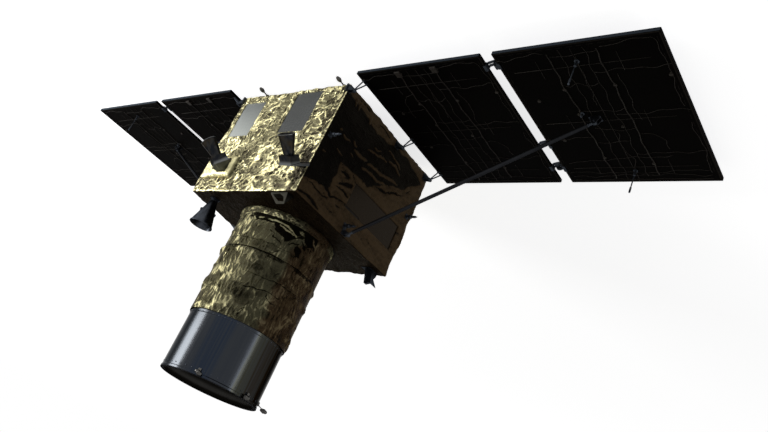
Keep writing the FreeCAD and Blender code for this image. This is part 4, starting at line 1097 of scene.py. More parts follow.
class SATELLITE_OT_barrel_foil(bpy.types.Operator):
    """Wrap the telescope's barrel in creased foil, with a bunched collar at its foot"""
    bl_idname = "satellite.barrel_foil"
    bl_label = "Barrel Foil"

    def execute(self, context):
        foil = context.scene.satellite_foil
        material = foil_finish("barrel_foil", shaded(foil.dark, 0.35), foil.olive, shaded(foil.light, 0.85),
                               0.7, 0.24, 0.04, (0.0, 0.42, 0.42, 1.05), (0.26, 0.26),
                               (shaded(foil.brown, 0.64), (0.125, 0.098, 0.056)), 0.35)
        inner = TUBE_RADIUS
        outer = WRAP_HIGH.x
        foot, top = BUS_HIGH.z + 0.016, WRAP_HIGH.z
        self.wrap = 2 * round(math.pi * outer / foil.grain)
        for name, low, high, radius in (
                ("barrel_foil_lower", foot, BARREL_SEAM + 0.016, outer - 0.0065),
                ("barrel_foil_upper", BARREL_SEAM, top - 0.0005, outer + 0.0005)):
            step = foil.grid * 0.9
            around = int(2 * math.pi * outer / step)
            zs = gridlines(low, high, step)
            z, a = np.meshgrid(zs, np.arange(around) * 2 * math.pi / around, indexing="ij")
            z, a = z.ravel(), a.ravel()
            height, tone, depth, shade_side = self.relief(a, z)
            if low == BARREL_SEAM:
                lip = ramp(0.014 - (z - low), 0.0, 0.014)
                height = height * (1 - 0.5 * lip) + 0.0015 * lip
            else:
                # Painted shade on the lower sleeve just under the upper sleeve's lip.
                under = z - (high - 0.016) + 0.003 * swell(a / math.pi * 20, z * 0, 7, 40)
                depth = np.minimum(depth, 1 - ramp(under, -0.010, -0.004))
                height -= 0.002 * ramp(under, -0.02, 0.0)
            height *= ramp(high - z, -0.004, 0.012) * 0.7 + 0.3
            out = np.maximum(radius + height, inner + 0.0006)
            points = np.stack([out * np.cos(a), out * np.sin(a), z], 1)
            base = np.stack([(inner + 0.0004) * np.cos(a), (inner + 0.0004) * np.sin(a), z], 1)
            points, quads, source = hemmed(points, band_faces(len(zs), around), base)
            piece = mesh_object(name, points, quads, {"tone": tone[source], "depth": depth[source],
                                                      "shade_side": shade_side[source]})
            finish_piece(piece, "bus", material, ("barrel_wrap",))
        self.collar(material)
        return {"FINISHED"}

    def relief(self, a, z):
        """Height, tone, depth and painted shade side of the wrap, from direction in radians and height."""
        wrap = self.wrap
        size = 2 * math.pi * WRAP_HIGH.x / wrap

        def shape(turn, z):
            wave = crumple(turn * wrap, z / size / 1.6, 71, 0.9, wrap)
            fine = crumple(turn * wrap * 2, z / size * 1.3, 75, 0.8, wrap * 2)
            ridge, luck = web(turn * wrap * 1.5, z / size / 1.9, 81, 0.36, 0.9, int(wrap * 1.5))
            return 0.5 * wave + 0.28 * fine + 0.30 * ridge, wave, fine, ridge, luck

        turn = a / (2 * math.pi)
        form, wave, fine, ridge, luck = shape(turn, z)
        # The slope paints light and shade on the flanks of the crinkles.
        slope = (shape(turn - 0.0014, z - 0.0012)[0] - shape(turn + 0.0014, z + 0.0012)[0]) * 1.9
        broad = swell(turn * 18, z / 0.075, 77, 18)
        blot = swell(turn * 34, z / 0.04, 79, 34)
        degrees = np.degrees(a)
        degrees = np.where(degrees > 180, degrees - 360, degrees)
        wobble_a = degrees + 2.0 * swell(turn * 90, z / 0.02, 83, 90)
        wobble_z = z + 0.004 * swell(turn * 90, z / 0.02, 84, 90)
        arc = math.radians(1) * WRAP_HIGH.x
        sharp = np.zeros(a.shape)
        for shift in (0, 360):
            folds = [(width, [((d + shift) * arc, h) for d, h in path]) for width, path in
                     BARREL_FOLDS + BARREL_TUCKS]
            sharp = np.maximum(sharp, strokes(wobble_a * arc, wobble_z, folds))
        ribs = [(width, [(d * arc, h) for d, h in path]) for width, path in BARREL_RIBS]
        rib = strokes(wobble_a * arc, wobble_z, ribs)
        hollow = np.zeros(a.shape)
        for outline in BARREL_HOLLOWS:
            gap = inside(wobble_a * arc, wobble_z, [(d * arc, h) for d, h in outline])
            hollow = np.maximum(hollow, ramp(gap, -0.003, 0.004))
        hollow *= 1 - rib
        dull = patches(degrees + 6 * blot, z + 0.012 * broad, BARREL_DULL)
        # Painted light and shade by direction round the barrel: the side facing the key lamp gets painted
        # highlights, and the far side is painted brown as shade.
        off = np.minimum(np.abs(degrees + 82), 1.5 * np.abs(degrees - 78)) + 9 * broad + 5 * blot
        shade_side = ramp(off, 72, 80)
        lit = 1 - ramp(off, 12, 34)
        broken = ramp(swell(turn * 70, z / 0.035, 85, 70) + 0.4 * blot, -0.25, 0.35)
        drawn, drawn_luck = web(turn * wrap * 2.5, z / 0.075, 87, 0.5, 1.2, int(wrap * 2.5))
        streak = ramp(drawn, 0.3, 0.9) * (drawn_luck > 0.35 + 0.35 * (1 - lit)) * broken
        contrast = 0.5 + 0.6 * lit + 0.1 * shade_side
        tone = 0.38 + 0.17 * blot + 0.05 * wave + 0.38 * np.clip(slope, -0.9, 0.9) * contrast
        tone += lit * (0.32 * ridge * broken + 0.32 * streak + 0.03)
        tone += (1 - lit) * ((0.13 + 0.05 * shade_side) * ridge * (luck > 0.6) + 0.06 * streak * (luck > 0.4))
        tone += shade_side * (0.34 * fine + 0.6 * (tone - 0.38))
        # The ribs get painted highlights.
        tone = np.maximum(tone * (1 - 0.45 * dull), 0.75 * rib)
        crack, crack_luck = web(turn * wrap * 1.5, z / 0.05, 99, 0.13, 1.0, int(wrap * 1.5))
        crack *= ramp(crack_luck + 0.4 * blot, 0.72, 0.85)
        # Painted shadow just under the collar.
        under = ramp(0.866 + 0.010 * broad + 0.006 * fine - z, -0.004, 0.003) * ramp(-degrees - 70, 0, 30)
        # Painted shade in the folds, tucks, hollows, cracks and pits, and on flanks turned from the light.
        dark = np.maximum(np.maximum(sharp, hollow), np.maximum(0.85 * crack, under))
        dark = np.maximum(dark, ramp(-slope, 0.8, 1.15) * (0.45 + 0.55 * lit))
        near, _, spot_luck = cells(turn * wrap * 1.5, z / 0.03, 91, int(wrap * 1.5))
        dark = np.maximum(dark, ramp(0.2 - near, 0.0, 0.1) * (spot_luck > 0.93))
        below = z - BARREL_SEAM
        sag = ramp(below, 0.0, 0.012) * ramp(0.075 - below, 0.0, 0.06)
        pillow = np.sin(2 * math.pi * (z + 0.035 * swell(turn * 7, z / 0.2, 78, 7)) / 0.115)
        height = 0.0110 * form + 0.0110 * broad + 0.0050 * pillow + 0.006 * sag
        height -= 0.004 * sharp + 0.003 * hollow + 0.0020
        return height, np.clip(tone, 0, 1), 1 - 0.97 * dark, shade_side

    def collar(self, material):
        """Bunched roll of foil where the barrel leaves the body."""
        around, across = 460, 26
        sweep = np.linspace(0, 1, across)
        t, a = np.meshgrid(sweep, np.arange(around) * 2 * math.pi / around, indexing="ij")
        t, a = t.ravel(), a.ravel()
        low, high = BUS_HIGH.z - 0.006, COLLAR_HIGH.z - 0.001
        inner, outer = TUBE_RADIUS, COLLAR_HIGH.x
        swing = np.sin(math.pi * np.clip(t * 1.05, 0, 1)) ** 0.8
        radius = inner + 0.002 + (outer - inner - 0.004) * swing * (1 - 0.35 * t)
        turn = a / (2 * math.pi)
        pleat = crumple(turn * 96, t * 1.6, 91, 0.6, 96)
        roll = crumple(turn * 48, t * 2.6, 95, 0.6, 48)
        radius = np.clip(radius + 0.0045 * pleat * swing + 0.0035 * roll, inner + 0.0006, outer + 0.004)
        z = np.maximum(low + (high - low) * t + 0.004 * pleat * swing, low)
        points = np.stack([radius * np.cos(a), radius * np.sin(a), z], 1)
        ridge, luck = web(turn * 60, t * 2.2, 97, 0.4, 0.6, 60)
        # Painted highlights on the ridges facing +Y and -Y, painted shade in the pleats and under the lip,
        # and painted brown shade on the sides facing +X and -X.
        towards = np.abs(np.sin(a)) + 0.1 * roll
        tone = 0.34 + 0.24 * pleat + 0.42 * ridge * (luck > 0.5) * ramp(towards, 0.1, 0.9)
        under_lip = ramp(0.25 - np.abs(t - 0.85), 0.0, 0.2) * ramp(-roll, -0.1, 0.4)
        dark = np.maximum(ramp(-pleat, 0.22, 0.5), under_lip)
        dark = np.maximum(dark, ramp(-roll - 0.5 * pleat, 0.25, 0.5))
        piece = mesh_object("collar_foil", points, band_faces(across, around),
                            {"tone": np.clip(tone, 0, 1), "depth": 1 - 0.95 * dark,
                             "shade_side": 1 - ramp(towards, 0.25, 0.5)})
        finish_piece(piece, "bus", material, ("barrel_collar",))


def clamped_at(side, level):
    """Lowest and highest corners of what one wing's fittings have at a level or below it."""
    found = []
    for node in ("mid_hinge_clevises_", "mid_hinge_lugs_", "root_hinge_leaves_", "hold_down_rods_"):
        for solid in solids_of(node + side):
            near = solid[solid[:, 2] < level + 0.0005]
            if len(near):
                found.append((near.min(0), near.max(0)))
    return found


CELL_GAP = 0.0022


class SATELLITE_OT_solar_cells(bpy.types.Operator):
    """Lay strings of thin cells over the lower face of each panel"""
    bl_idname = "satellite.solar_cells"
    bl_label = "Solar Cells"

    def execute(self, context):
        wing = context.scene.satellite_wing
        material = self.finish(wing)
        gap, thick, margin, clear = CELL_GAP, 0.0007, 0.018, 0.002
        for side, _ in SIDES:
            for part in ("inner", "outer"):
                low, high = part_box(part + "_panel_" + side)
                blocked = clamped_at(side, low.z)
                columns = int((high.x - low.x - 2 * margin) / (wing.cell_x + gap))
                rows = int((high.y - low.y - 2 * margin) / (wing.cell_y + gap))
                start_x = (low.x + high.x - columns * (wing.cell_x + gap) + gap) / 2
                start_y = (low.y + high.y - rows * (wing.cell_y + gap) + gap) / 2
                pile = Pile()
                for column in range(columns):
                    for row in range(rows):
                        x0 = start_x + column * (wing.cell_x + gap)
                        y0 = start_y + row * (wing.cell_y + gap)
                        x1, y1 = x0 + wing.cell_x, y0 + wing.cell_y
                        if any(x0 < b[0] + clear and x1 > a[0] - clear and y0 < b[1] + clear
                               and y1 > a[1] - clear for a, b in blocked):
                            continue
                        pile.add(self.cell(x0, x1, y0, y1, low.z, thick))
                piece = pile.mesh("cells_" + part + "_" + side)
                finish_piece(piece, part + "_" + side, material)
        return {"FINISHED"}

    def cell(self, x0, x1, y0, y1, top, thick):
        """A thin cell with two cropped corners, hung under a face."""
        crop = 0.006
        outline = [(x0, y0), (x1 - crop, y0), (x1, y0 + crop), (x1, y1 - crop), (x1 - crop, y1), (x0, y1)]
        points = [(x, y, top + 0.0001) for x, y in outline] + [(x, y, top - thick) for x, y in outline]
        count = len(outline)
        faces = [list(range(count)), list(range(2 * count - 1, count - 1, -1))]
        for i in range(count):
            j = (i + 1) % count
            faces.append([j, i, i + count, j + count])
        return points, faces

    def finish(self, wing):
        """Dark blue glass over cells with fine silver fingers and two bars."""
        finish = Finish("solar_cell", Metallic=0.0, IOR=1.5, Specular_IOR_Level=0.35)
        x, y = finish.axes()[:2]
        finger = (x / 0.0021).math("FRACT").step(0.80, 0.90)
        across = (y / (wing.cell_y + CELL_GAP)).math("FRACT")
        bars = [abs(across - place).step(0.03, 0.02) for place in (0.3, 0.7)]
        bar = bars[0].math("MAXIMUM", bars[1])
        cloud = finish.noise(14.0, 2.0)
        base = wing.cell
        colour = finish.blend(cloud.step(0.3, 0.7), shaded(base, 0.6), shaded(base, 1.6))
        colour = finish.blend((finger * 0.25).math("MAXIMUM", bar * 0.6), colour, (0.30, 0.31, 0.33))
        finish.bump(bar + cloud * 0.2, 0.0001, 0.3)
        return finish.paint(base_color=colour, roughness=(cloud * 0.1 + 0.1).clamp(), coat_weight=0.6)


# Wiring of a panel's rear face, in metres: the kind of wire, how far it wavers, and its path as
# distance from the panel's root edge and place across it.
WIRE_RUNS = (
    ("wire", 0.0, [(0.059, -0.362), (0.697, -0.362)]),
    ("wire", 0.0, [(0.059, 0.010), (0.697, 0.010)]),
    ("wire", 0.0, [(0.059, 0.374), (0.697, 0.374)]),
    ("wire", 0.0, [(0.3795, -0.470), (0.3795, 0.470)]),
    ("harness", 0.004, [(0.262, -0.450), (0.262, 0.465)]),
    ("wire", 0.005, [(0.321, -0.470), (0.321, 0.470)]),
    ("wire", 0.005, [(0.435, -0.470), (0.435, 0.450)]),
    ("harness", 0.003, [(0.492, -0.450), (0.492, 0.440)]),
    ("wire", 0.006, [(0.010, -0.452), (0.130, -0.458), (0.245, -0.455)]),
    ("wire", 0.004, [(0.262, -0.440), (0.330, -0.425), (0.420, -0.425), (0.492, -0.440)]),
    ("wire", 0.007, [(0.385, -0.420), (0.372, -0.300), (0.390, -0.180), (0.366, -0.100)]),
    ("wire", 0.006, [(0.262, -0.250), (0.290, -0.235), (0.330, -0.250), (0.365, -0.235), (0.435, -0.245)]),
    ("wire", 0.006, [(0.300, 0.060), (0.340, 0.085), (0.380, 0.070), (0.420, 0.090), (0.492, 0.075)]),
    ("wire", 0.007, [(0.395, 0.100), (0.380, 0.200), (0.402, 0.300), (0.385, 0.400)]),
    ("wire", 0.005, [(0.530, -0.290), (0.545, -0.180), (0.525, -0.080), (0.540, 0.020)]),
    ("wire", 0.004, [(0.510, -0.458), (0.620, -0.472), (0.735, -0.470), (0.748, -0.440), (0.748, -0.050)]),
    ("wire", 0.006, [(0.435, -0.312), (0.600, -0.306), (0.768, -0.312)]),
    ("wire", 0.005, [(0.010, -0.176), (0.130, -0.170), (0.262, -0.178)]),
    ("wire", 0.004, [(0.262, -0.066), (0.300, -0.058), (0.378, -0.064), (0.450, -0.058), (0.492, -0.066)]),
    ("wire", 0.006, [(0.435, -0.027), (0.610, -0.030), (0.768, -0.024)]),
    ("wire", 0.005, [(0.010, 0.130), (0.120, 0.134), (0.257, 0.128)]),
    ("wire", 0.004, [(0.262, 0.170), (0.350, 0.174), (0.435, 0.168)]),
    ("wire", 0.006, [(0.435, 0.265), (0.600, 0.270), (0.768, 0.262)]),
    ("wire", 0.005, [(0.050, 0.330), (0.300, 0.306), (0.600, 0.290)]),
    ("wire", 0.005, [(0.030, 0.412), (0.400, 0.420), (0.740, 0.412)]),
    ("wire", 0.005, [(0.030, 0.446), (0.400, 0.438), (0.740, 0.450)]),
    ("wire", 0.003, [(0.030, 0.476), (0.740, 0.476)]),
    ("wire", 0.004, [(0.748, 0.060), (0.752, 0.250), (0.744, 0.430)]),
    ("wire", 0.004, [(0.262, -0.300), (0.200, -0.296), (0.160, -0.240), (0.160, -0.120)]),
    ("wire", 0.004, [(0.492, 0.120), (0.560, 0.124), (0.600, 0.180), (0.600, 0.240)]),
)
CROSS_MARKS = tuple([(x, y - 0.056), (x, y + 0.056)]
                    for x in (0.191, 0.569) for y in (-0.362, 0.010, 0.374))
# Place on the panel, then length, width and height; and the places of the clamps.
TERMINAL_BLOCKS = ((0.262, -0.455, 0.034, 0.040, 0.009), (0.490, -0.455, 0.034, 0.040, 0.009))
SMALL_CLAMPS = ((0.254, -0.221), (0.497, -0.221), (0.257, -0.045), (0.097, -0.160), (0.105, 0.140),
                (0.262, 0.290), (0.492, 0.350), (0.435, 0.060), (0.748, -0.250))


class SATELLITE_OT_wing_wiring(bpy.types.Operator):
    """Lay wires, laced bundles, terminal blocks and edge tape on the rear faces of the panels"""
    bl_idname = "satellite.wing_wiring"
    bl_label = "Wing Wiring"

    def execute(self, context):
        wing = context.scene.satellite_wing
        wires = satin_finish("wire_jacket", wing.line, 0.0, 0.5, gloss=0.1)
        tape = satin_finish("edge_tape", shaded(wing.line, 0.65), 0.0, 0.6, gloss=0.02)
        blocks = satin_finish("terminal_block", shaded(wing.line, 1.2), 0.2, 0.45, gloss=0.1)
        for side, sign in SIDES:
            for number, part in enumerate(("inner", "outer")):
                low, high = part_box(part + "_panel_" + side)
                self.root = low.x if sign > 0 else high.x
                self.sign, self.top = sign, high.z
                body = part + "_" + side
                finish_piece(self.wires(wing, number).mesh("wires_" + body, True), body, wires)
                finish_piece(self.terminals(number).mesh("terminals_" + body), body, blocks)
                piece = self.tape(high.x - low.x, high.y).mesh("tape_" + body)
                finish_piece(piece, body, tape)
        return {"FINISHED"}

    def wires(self, wing, number):
        """All the wires of the inner panel, number 0, or of the outer one, number 1."""
        pile = Pile()
        for index, (kind, wave, path) in enumerate(WIRE_RUNS):
            # A few of the lesser runs are left out, not the same ones on the two panels.
            if index > 9 and (index * 7 + number * 5) % 11 == 3:
                continue
            radius = wing.wire if kind == "wire" else wing.harness
            pile.add(self.run(path, radius, wave, index + 30 * number, kind == "harness"))
        for path in CROSS_MARKS:
            pile.add(self.run(path, 0.9 * wing.wire, 0.0, 0, False))
        return pile

    def terminals(self, number):
        """Blocks on their straps, on the inner panel only, and small clamps with a strap across."""
        pile = Pile()
        for x, y, wide, deep, tall in TERMINAL_BLOCKS[:2 - 2 * number]:
            pile.add(self.lying(x, y, wide, deep, tall, 0.0025),
                     self.lying(x, y, wide + 0.010, 0.010, 0.002, 0.0005))
        for x, y in SMALL_CLAMPS:
            pile.add(self.lying(x, y, 0.016, 0.010, 0.0055, 0.0015),
                     self.lying(x, y, 0.007, 0.022, 0.0018, 0.0004))
        return pile

    def tape(self, length_x, half_y):
        """Tape along the four edges, and a dashed line inside it."""
        pile = Pile()
        thick, chamfer, inset, wide = 0.0004, 0.0001, 0.006, 0.007
        for y in (-half_y + inset, half_y - inset):
            pile.add(self.lying(length_x / 2, y, length_x - 0.010, wide, thick, chamfer))
        for x in (inset, length_x - inset):
            pile.add(self.lying(x, 0.0, wide, 2 * half_y - 0.024, thick, chamfer))
        dash, narrow, start = 0.030, 0.0022, 0.045
        pitch = 1.6 * dash
        for i in range(int((2 * half_y - 0.06) / pitch)):
            for x in (0.022, length_x - 0.022):
                pile.add(self.lying(x, -half_y + start + i * pitch, narrow, dash, thick, chamfer))
        for i in range(int((length_x - 0.06) / pitch)):
            for y in (-half_y + 0.021, half_y - 0.021):
                pile.add(self.lying(start + i * pitch, y, dash, narrow, thick, chamfer))
        return pile

    def across(self, out):
        """The X of a place that far from the panel's root edge."""
        return self.root + self.sign * out

    def run(self, path, radius, wave, seed, laced):
        """A wire that lies on the panel along straight runs, with a small waver."""
        corners = np.array(path)
        lengths = np.linalg.norm(np.diff(corners, axis=0), axis=1)
        total = lengths.sum()
        count = max(2, int(total / (0.016 if wave else 0.20)) + 1)
        at = np.linspace(0, total, count + 1)
        marks = np.concatenate([[0], np.cumsum(lengths)])
        x, y = np.interp(at, marks, corners[:, 0]), np.interp(at, marks, corners[:, 1])
        ahead = np.gradient(np.stack([x, y], 1), axis=0)
        ahead /= np.linalg.norm(ahead, axis=1)[:, None]
        ends = ramp(np.minimum(at, total - at), 0.0, 0.03)
        waver = wave * ends * (1.2 * np.sin(at * 23 + seed) + 0.7 * np.sin(at * 57 + 2.3 * seed))
        waver += 0.6 * wave * ends * np.sin(at * 11 + 1.7 * seed)
        x, y = x - ahead[:, 1] * waver, y + ahead[:, 0] * waver
        beads = radius * (1 + 0.3 * (np.arange(count + 1) % 3 == 0)) if laced else radius
        line = np.stack([self.across(x), y, np.full(x.shape, self.top + 0.75 * radius)], 1)
        return tube(line, beads)

    def lying(self, x, y, wide, deep, tall, chamfer):
        """A small block on the panel's rear face."""
        x0, x1 = sorted((self.across(x - wide / 2), self.across(x + wide / 2)))
        return plate((x0, y - deep / 2, self.top - 0.0002), (x1, y + deep / 2, self.top + tall), chamfer)


class SATELLITE_OT_fasteners(bpy.types.Operator):
    """Put bolts on the flanges, rivets on the sunshade, lenses in the trackers, shells on the sensors"""
    bl_idname = "satellite.fasteners"
    bl_label = "Fasteners and Lenses"

    def execute(self, context):
        colours = context.scene.satellite_fitting
        steel = satin_finish("bolt_steel", shaded(colours.bare, 1.5), 1.0, 0.3)
        piles = {}
        for side, sign in SIDES:
            for node, thick, inset, size in (("root_hinge_brackets", 0.011, 0.0065, 0.0065),
                                             ("strut_feet", 0.012, 0.0060, 0.0060),
                                             ("hold_down_stubs", 0.009, 0.0045, 0.0050)):
                self.flange(piles, "bus", node, 0, sign, thick, inset, size, False)
            self.flange(piles, "outer_" + side, "strut_catch_" + side, 2, 1, 0.004, 0.006, 0.006, False)
            for body, node in (("inner_", "mid_hinge_clevises_"), ("outer_", "mid_hinge_lugs_")):
                self.flange(piles, body + side, node + side, 2, 1, 0.0, 0.0045, 0.005, True)
        for body, pile in piles.items():
            finish_piece(pile.mesh("bolts_" + body), body, steel)
        self.rivets(steel)
        self.lenses()
        self.eggs(colours)
        return {"FINISHED"}

    def flange(self, piles, body, node, axis, sign, thick, inset, size, on_top):
        """Bolts at the corners of the flat foot, or of the flat top, of each solid on one side."""
        others = [i for i in range(3) if i != axis]
        for solid in solids_of(node):
            level = sign * solid[:, axis]
            if level.max() < 0:
                continue
            face = level.max() if on_top else level.min()
            flat = solid[np.abs(level - face) < 1e-4][:, others]
            if len(flat) < 3:
                continue
            low, high = flat.min(0) + inset, flat.max(0) - inset
            for a in (low[0], high[0]):
                for b in (low[1], high[1]):
                    base, way = [0.0] * 3, [0.0] * 3
                    base[others[0]], base[others[1]] = a, b
                    base[axis], way[axis] = sign * (face + thick - 0.0002), sign
                    piles.setdefault(body, Pile()).add(*hex_bolt(base, way, size))

    def rivets(self, steel):
        """Small round heads along the sunshade's lower seam and below its lip."""
        low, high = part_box("sunshade")
        wall = points_of("sunshade")
        radius = np.hypot(wall[:, 0], wall[:, 1])
        body = radius[(wall[:, 2] > low.z - 1e-4) & (wall[:, 2] < low.z + 0.03)].max()
        pile = Pile()
        count = 48
        for z in (low.z + 0.012, high.z - 0.030):
            for i in range(count):
                turn = 2 * math.pi * (i + 0.5) / count
                way = Vector((math.cos(turn), math.sin(turn), 0))
                base = way * (body - 0.0004)
                base.z = z
                pile.add(lathe(((0.0030, 0), (0.0026, 0.0010), (0.0012, 0.0016)), base, way, 8))
        finish_piece(pile.mesh("shade_rivets"), "bus", steel)

    def eggs(self, colours):
        """Full shells over the small egg-shaped sensors, along each sensor's own axis."""
        shell = satin_finish("sensor_shell", shaded(colours.dark, 3.4), 1.0, 0.12)
        profile = ((0.0008, -0.0215), (0.0060, -0.0195), (0.0100, -0.0120), (0.0118, 0.0), (0.0100, 0.0120),
                   (0.0060, 0.0195), (0.0008, 0.0215))
        band = ((0.0128, -0.0025), (0.0128, 0.0025), (0.0112, 0.0032))
        for node, tall in (("edge_sensors", 0.034), ("shade_sensors", 0.040)):
            pile = Pile()
            for solid in solids_of(node):
                foot = solid[np.argmin(np.hypot(solid[:, 0], solid[:, 1]))]
                tip = solid[np.argmax(np.linalg.norm(solid - foot, axis=1))]
                near = solid[np.linalg.norm(solid - tip, axis=1) < tall]
                middle = near.mean(0)
                way = np.linalg.svd(near - middle)[2][0]
                way *= np.sign((tip - middle) @ way)
                centre = middle + way * ((tip - middle) @ way - tall / 2)
                pile.add(lathe(profile, centre, way, 16), lathe(band, centre, way, 16))
            finish_piece(pile.mesh(node + "_shells", True), "bus", shell)

    def lenses(self):
        """A coated front lens deep in each star tracker's shade."""
        glass = Finish("tracker_lens", Metallic=0.0, IOR=1.6, Specular_IOR_Level=0.9)
        cloud = glass.noise(30.0, 2.0)
        colour = glass.blend(cloud.step(0.3, 0.7), (0.010, 0.012, 0.040), (0.030, 0.016, 0.060))
        material = glass.paint(base_color=colour, roughness=(cloud * 0.05 + 0.04).clamp(), coat_weight=1.0)
        profile = ((0.0235, 0), (0.0235, 0.006), (0.0200, 0.0075), (0.0190, 0.006), (0.0140, 0.0085),
                   (0.0070, 0.0100), (0.0010, 0.0104))
        boxes = solids_of("star_tracker_boxes")
        for shade in solids_of("star_tracker_shades"):
            middle = (shade.min(0) + shade.max(0)) / 2
            box = min(boxes, key=lambda b: np.linalg.norm(b.mean(0) - middle)).mean(0)
            way = middle - box
            way /= np.linalg.norm(way)
            along = (shade - box) @ way
            base = box + way * (along.min() + 0.004)
            name = "tracker_lens_" + ("left" if middle[0] > 0 else "right")
            finish_piece(mesh_object(name, *lathe(profile, base, way, 28)), "bus", material)


class SATELLITE_OT_fittings(bpy.types.Operator):
    """Give every rigid piece of the frame its metal, plastic or glass"""
    bl_idname = "satellite.fittings"
    bl_label = "Fittings"

    def execute(self, context):
        colours = context.scene.satellite_fitting
        wing = context.scene.satellite_wing
        shade = self.shade_finish(colours)
        bare = satin_finish("bare_metal", colours.bare, 1.0, 0.36)
        dark = self.tracker_finish(colours)
        egg = satin_finish("sensor_metal", shaded(colours.dark, 4.5), 1.0, 0.12)
        horn = satin_finish("horn_metal", colours.horn, 1.0, 0.18, (1, 1, 0.1), streak=0.3)
        strut = satin_finish("strut_metal", colours.strut, 1.0, 0.33)
        silver = satin_finish("bright_bracket", (0.030, 0.029, 0.024), 1.0, 0.3)
        black = satin_finish("black_lining", (0.055, 0.054, 0.052), 0.0, 0.45, gloss=0.3)
        mirror = satin_finish("mirror_glass", (0.80, 0.83, 0.86), 1.0, 0.03, streak=0.02)
        core = satin_finish("honeycomb_skin", (0.030, 0.028, 0.026), 0.3, 0.5, gloss=0.02)
        ring = satin_finish("ring_metal", (0.30, 0.31, 0.33), 1.0, 0.32, (1, 1, 8))
        panel = self.panel_finish(wing)
        radiator = self.radiator_finish(colours)
        finishes = {"fittings": bare, "honeycomb": core, "ring_metal": ring, "inner_block": core,
                    "foil": core, "radiator": radiator, "dark_tube": black, "shade_metal": shade,
                    "black_lining": black, "mirror": mirror, "dark_fittings": dark,
                    "horn_metal": horn, "panel": panel, "strut": strut}
        slots = {part["node"]: part["material_slot"] for part in frame["record"]["subparts"]}
        special = {"star_tracker_shades": dark, "nadir_bracket_front": silver, "edge_sensors": egg,
                   "shade_sensors": egg, "strut_catch_left": strut, "strut_catch_right": strut}
        for node, piece in NODES.items():
            material = special.get(node, finishes[slots[node]])
            for place in piece.material_slots:
                place.material = material
            if not piece.material_slots:
                piece.data.materials.append(material)
        return {"FINISHED"}

    def tracker_finish(self, colours):
        """Dark anodised metal in random brown and slate patches, the brown a painted reflection of the
        foil, and lighter along its edges as a painted highlight.
        """
        finish = Finish("tracker_metal", Metallic=1.0, IOR=1.5,
                        Specular_Tint=(0.4, 0.4, 0.4), Specular_IOR_Level=0.3)
        cloud = finish.noise(16.0, 2.0)
        streaks = finish.noise(90.0, 3.0, 0.6, 0.0, finish.stretched((1, 0.25, 0.25)))
        edges = Socket(finish, finish.node("ShaderNodeNewGeometry").outputs["Pointiness"])
        base = colours.dark
        colour = finish.blend(cloud.step(0.42, 0.56), (0.0095, 0.0105, 0.0130), (0.023, 0.019, 0.013))
        colour = finish.blend(streaks.step(0.40, 0.68), colour, shaded(base, 1.5))
        # Painted highlight along the sharp edges.
        colour = finish.blend(edges.step(0.53, 0.60), colour, (0.11, 0.115, 0.115))
        finish.bump(streaks, 0.0002, 0.35)
        return finish.paint(base_color=colour, roughness=(streaks * 0.14 + cloud * 0.1 + 0.2).clamp())

    def shade_finish(self, colours):
        """Dark anodised sheet, drawn lengthways, with painted reflections round its girth: a painted
        highlight, then slate, olive and brown in turn.
        """
        finish = Finish("sunshade_metal", Metallic=1.0, IOR=1.5,
                        Specular_Tint=(0.4, 0.4, 0.4), Specular_IOR_Level=0.02)
        x, y, z = finish.axes()
        girth = (x * x + y * y) ** 0.5
        # The bands below are painted highlights and painted reflections, laid out by direction round the
        # axis.
        across = (x * 0.61 - y * 0.79) / girth
        lines = finish.noise(150.0, 3.0, 0.6, 0.0, finish.stretched((1, 1, 0.012)))
        cloud = finish.noise(6.0, 2.0)
        across = across + (lines - 0.5) * 0.10
        base = colours.shade
        lit = across.step(0.50, 0.68) * (1 - 0.5 * across.step(0.92, 0.98))
        cool = across.step(0.02, 0.12) * (1 - across.step(0.40, 0.52))
        colour = finish.blend(lit, base, (0.70 * base[2], 0.74 * base[2], 0.80 * base[2]))
        colour = finish.blend(across.step(0.86, 0.97), colour, (0.085, 0.092, 0.100))
        colour = finish.blend(cool, colour, (0.62 * base[0], 0.78 * base[1], 1.04 * base[2]))
        colour = finish.blend(1 - across.step(-0.42, -0.34), colour, (0.025, 0.025, 0.018))
        colour = finish.blend(1 - across.step(-0.66, -0.54), colour, (0.014, 0.0105, 0.0065))
        drawn = (lines.step(0.35, 0.65) * 0.5 + cloud * 0.1).clamp()
        colour = finish.blend(drawn, colour, (0.030, 0.033, 0.036))
        rim, wall = SHADE_HIGH.z, SHADE_HIGH.x
        lip = z.step(rim - 0.0022, rim - 0.0012)
        inner = 1 - girth.step(wall - 0.0055, wall - 0.0045)
        # A lighter band on the inner wall, between about 20 and 62 mm below the rim, is painted light,
        # mixed with random cloud.
        painted_shading = z.step(rim - 0.062, rim - 0.040) * (1 - z.step(rim - 0.034, rim - 0.020))
        paint = finish.blend((painted_shading + (cloud - 0.5) * 0.8).clamp(),
                             (0.015, 0.0135, 0.011), (0.070, 0.067, 0.062))
        colour = finish.blend(inner, colour, paint)
        colour = finish.blend(lip, colour, (0.006, 0.006, 0.007))
        finish.bump(lines, 0.0002, 0.3)
        rough = lines * 0.10 + cloud * 0.06 + lip * 0.6 + inner * 0.5 + 0.12
        return finish.paint(base_color=colour, metallic=1 - lip, roughness=rough.clamp())

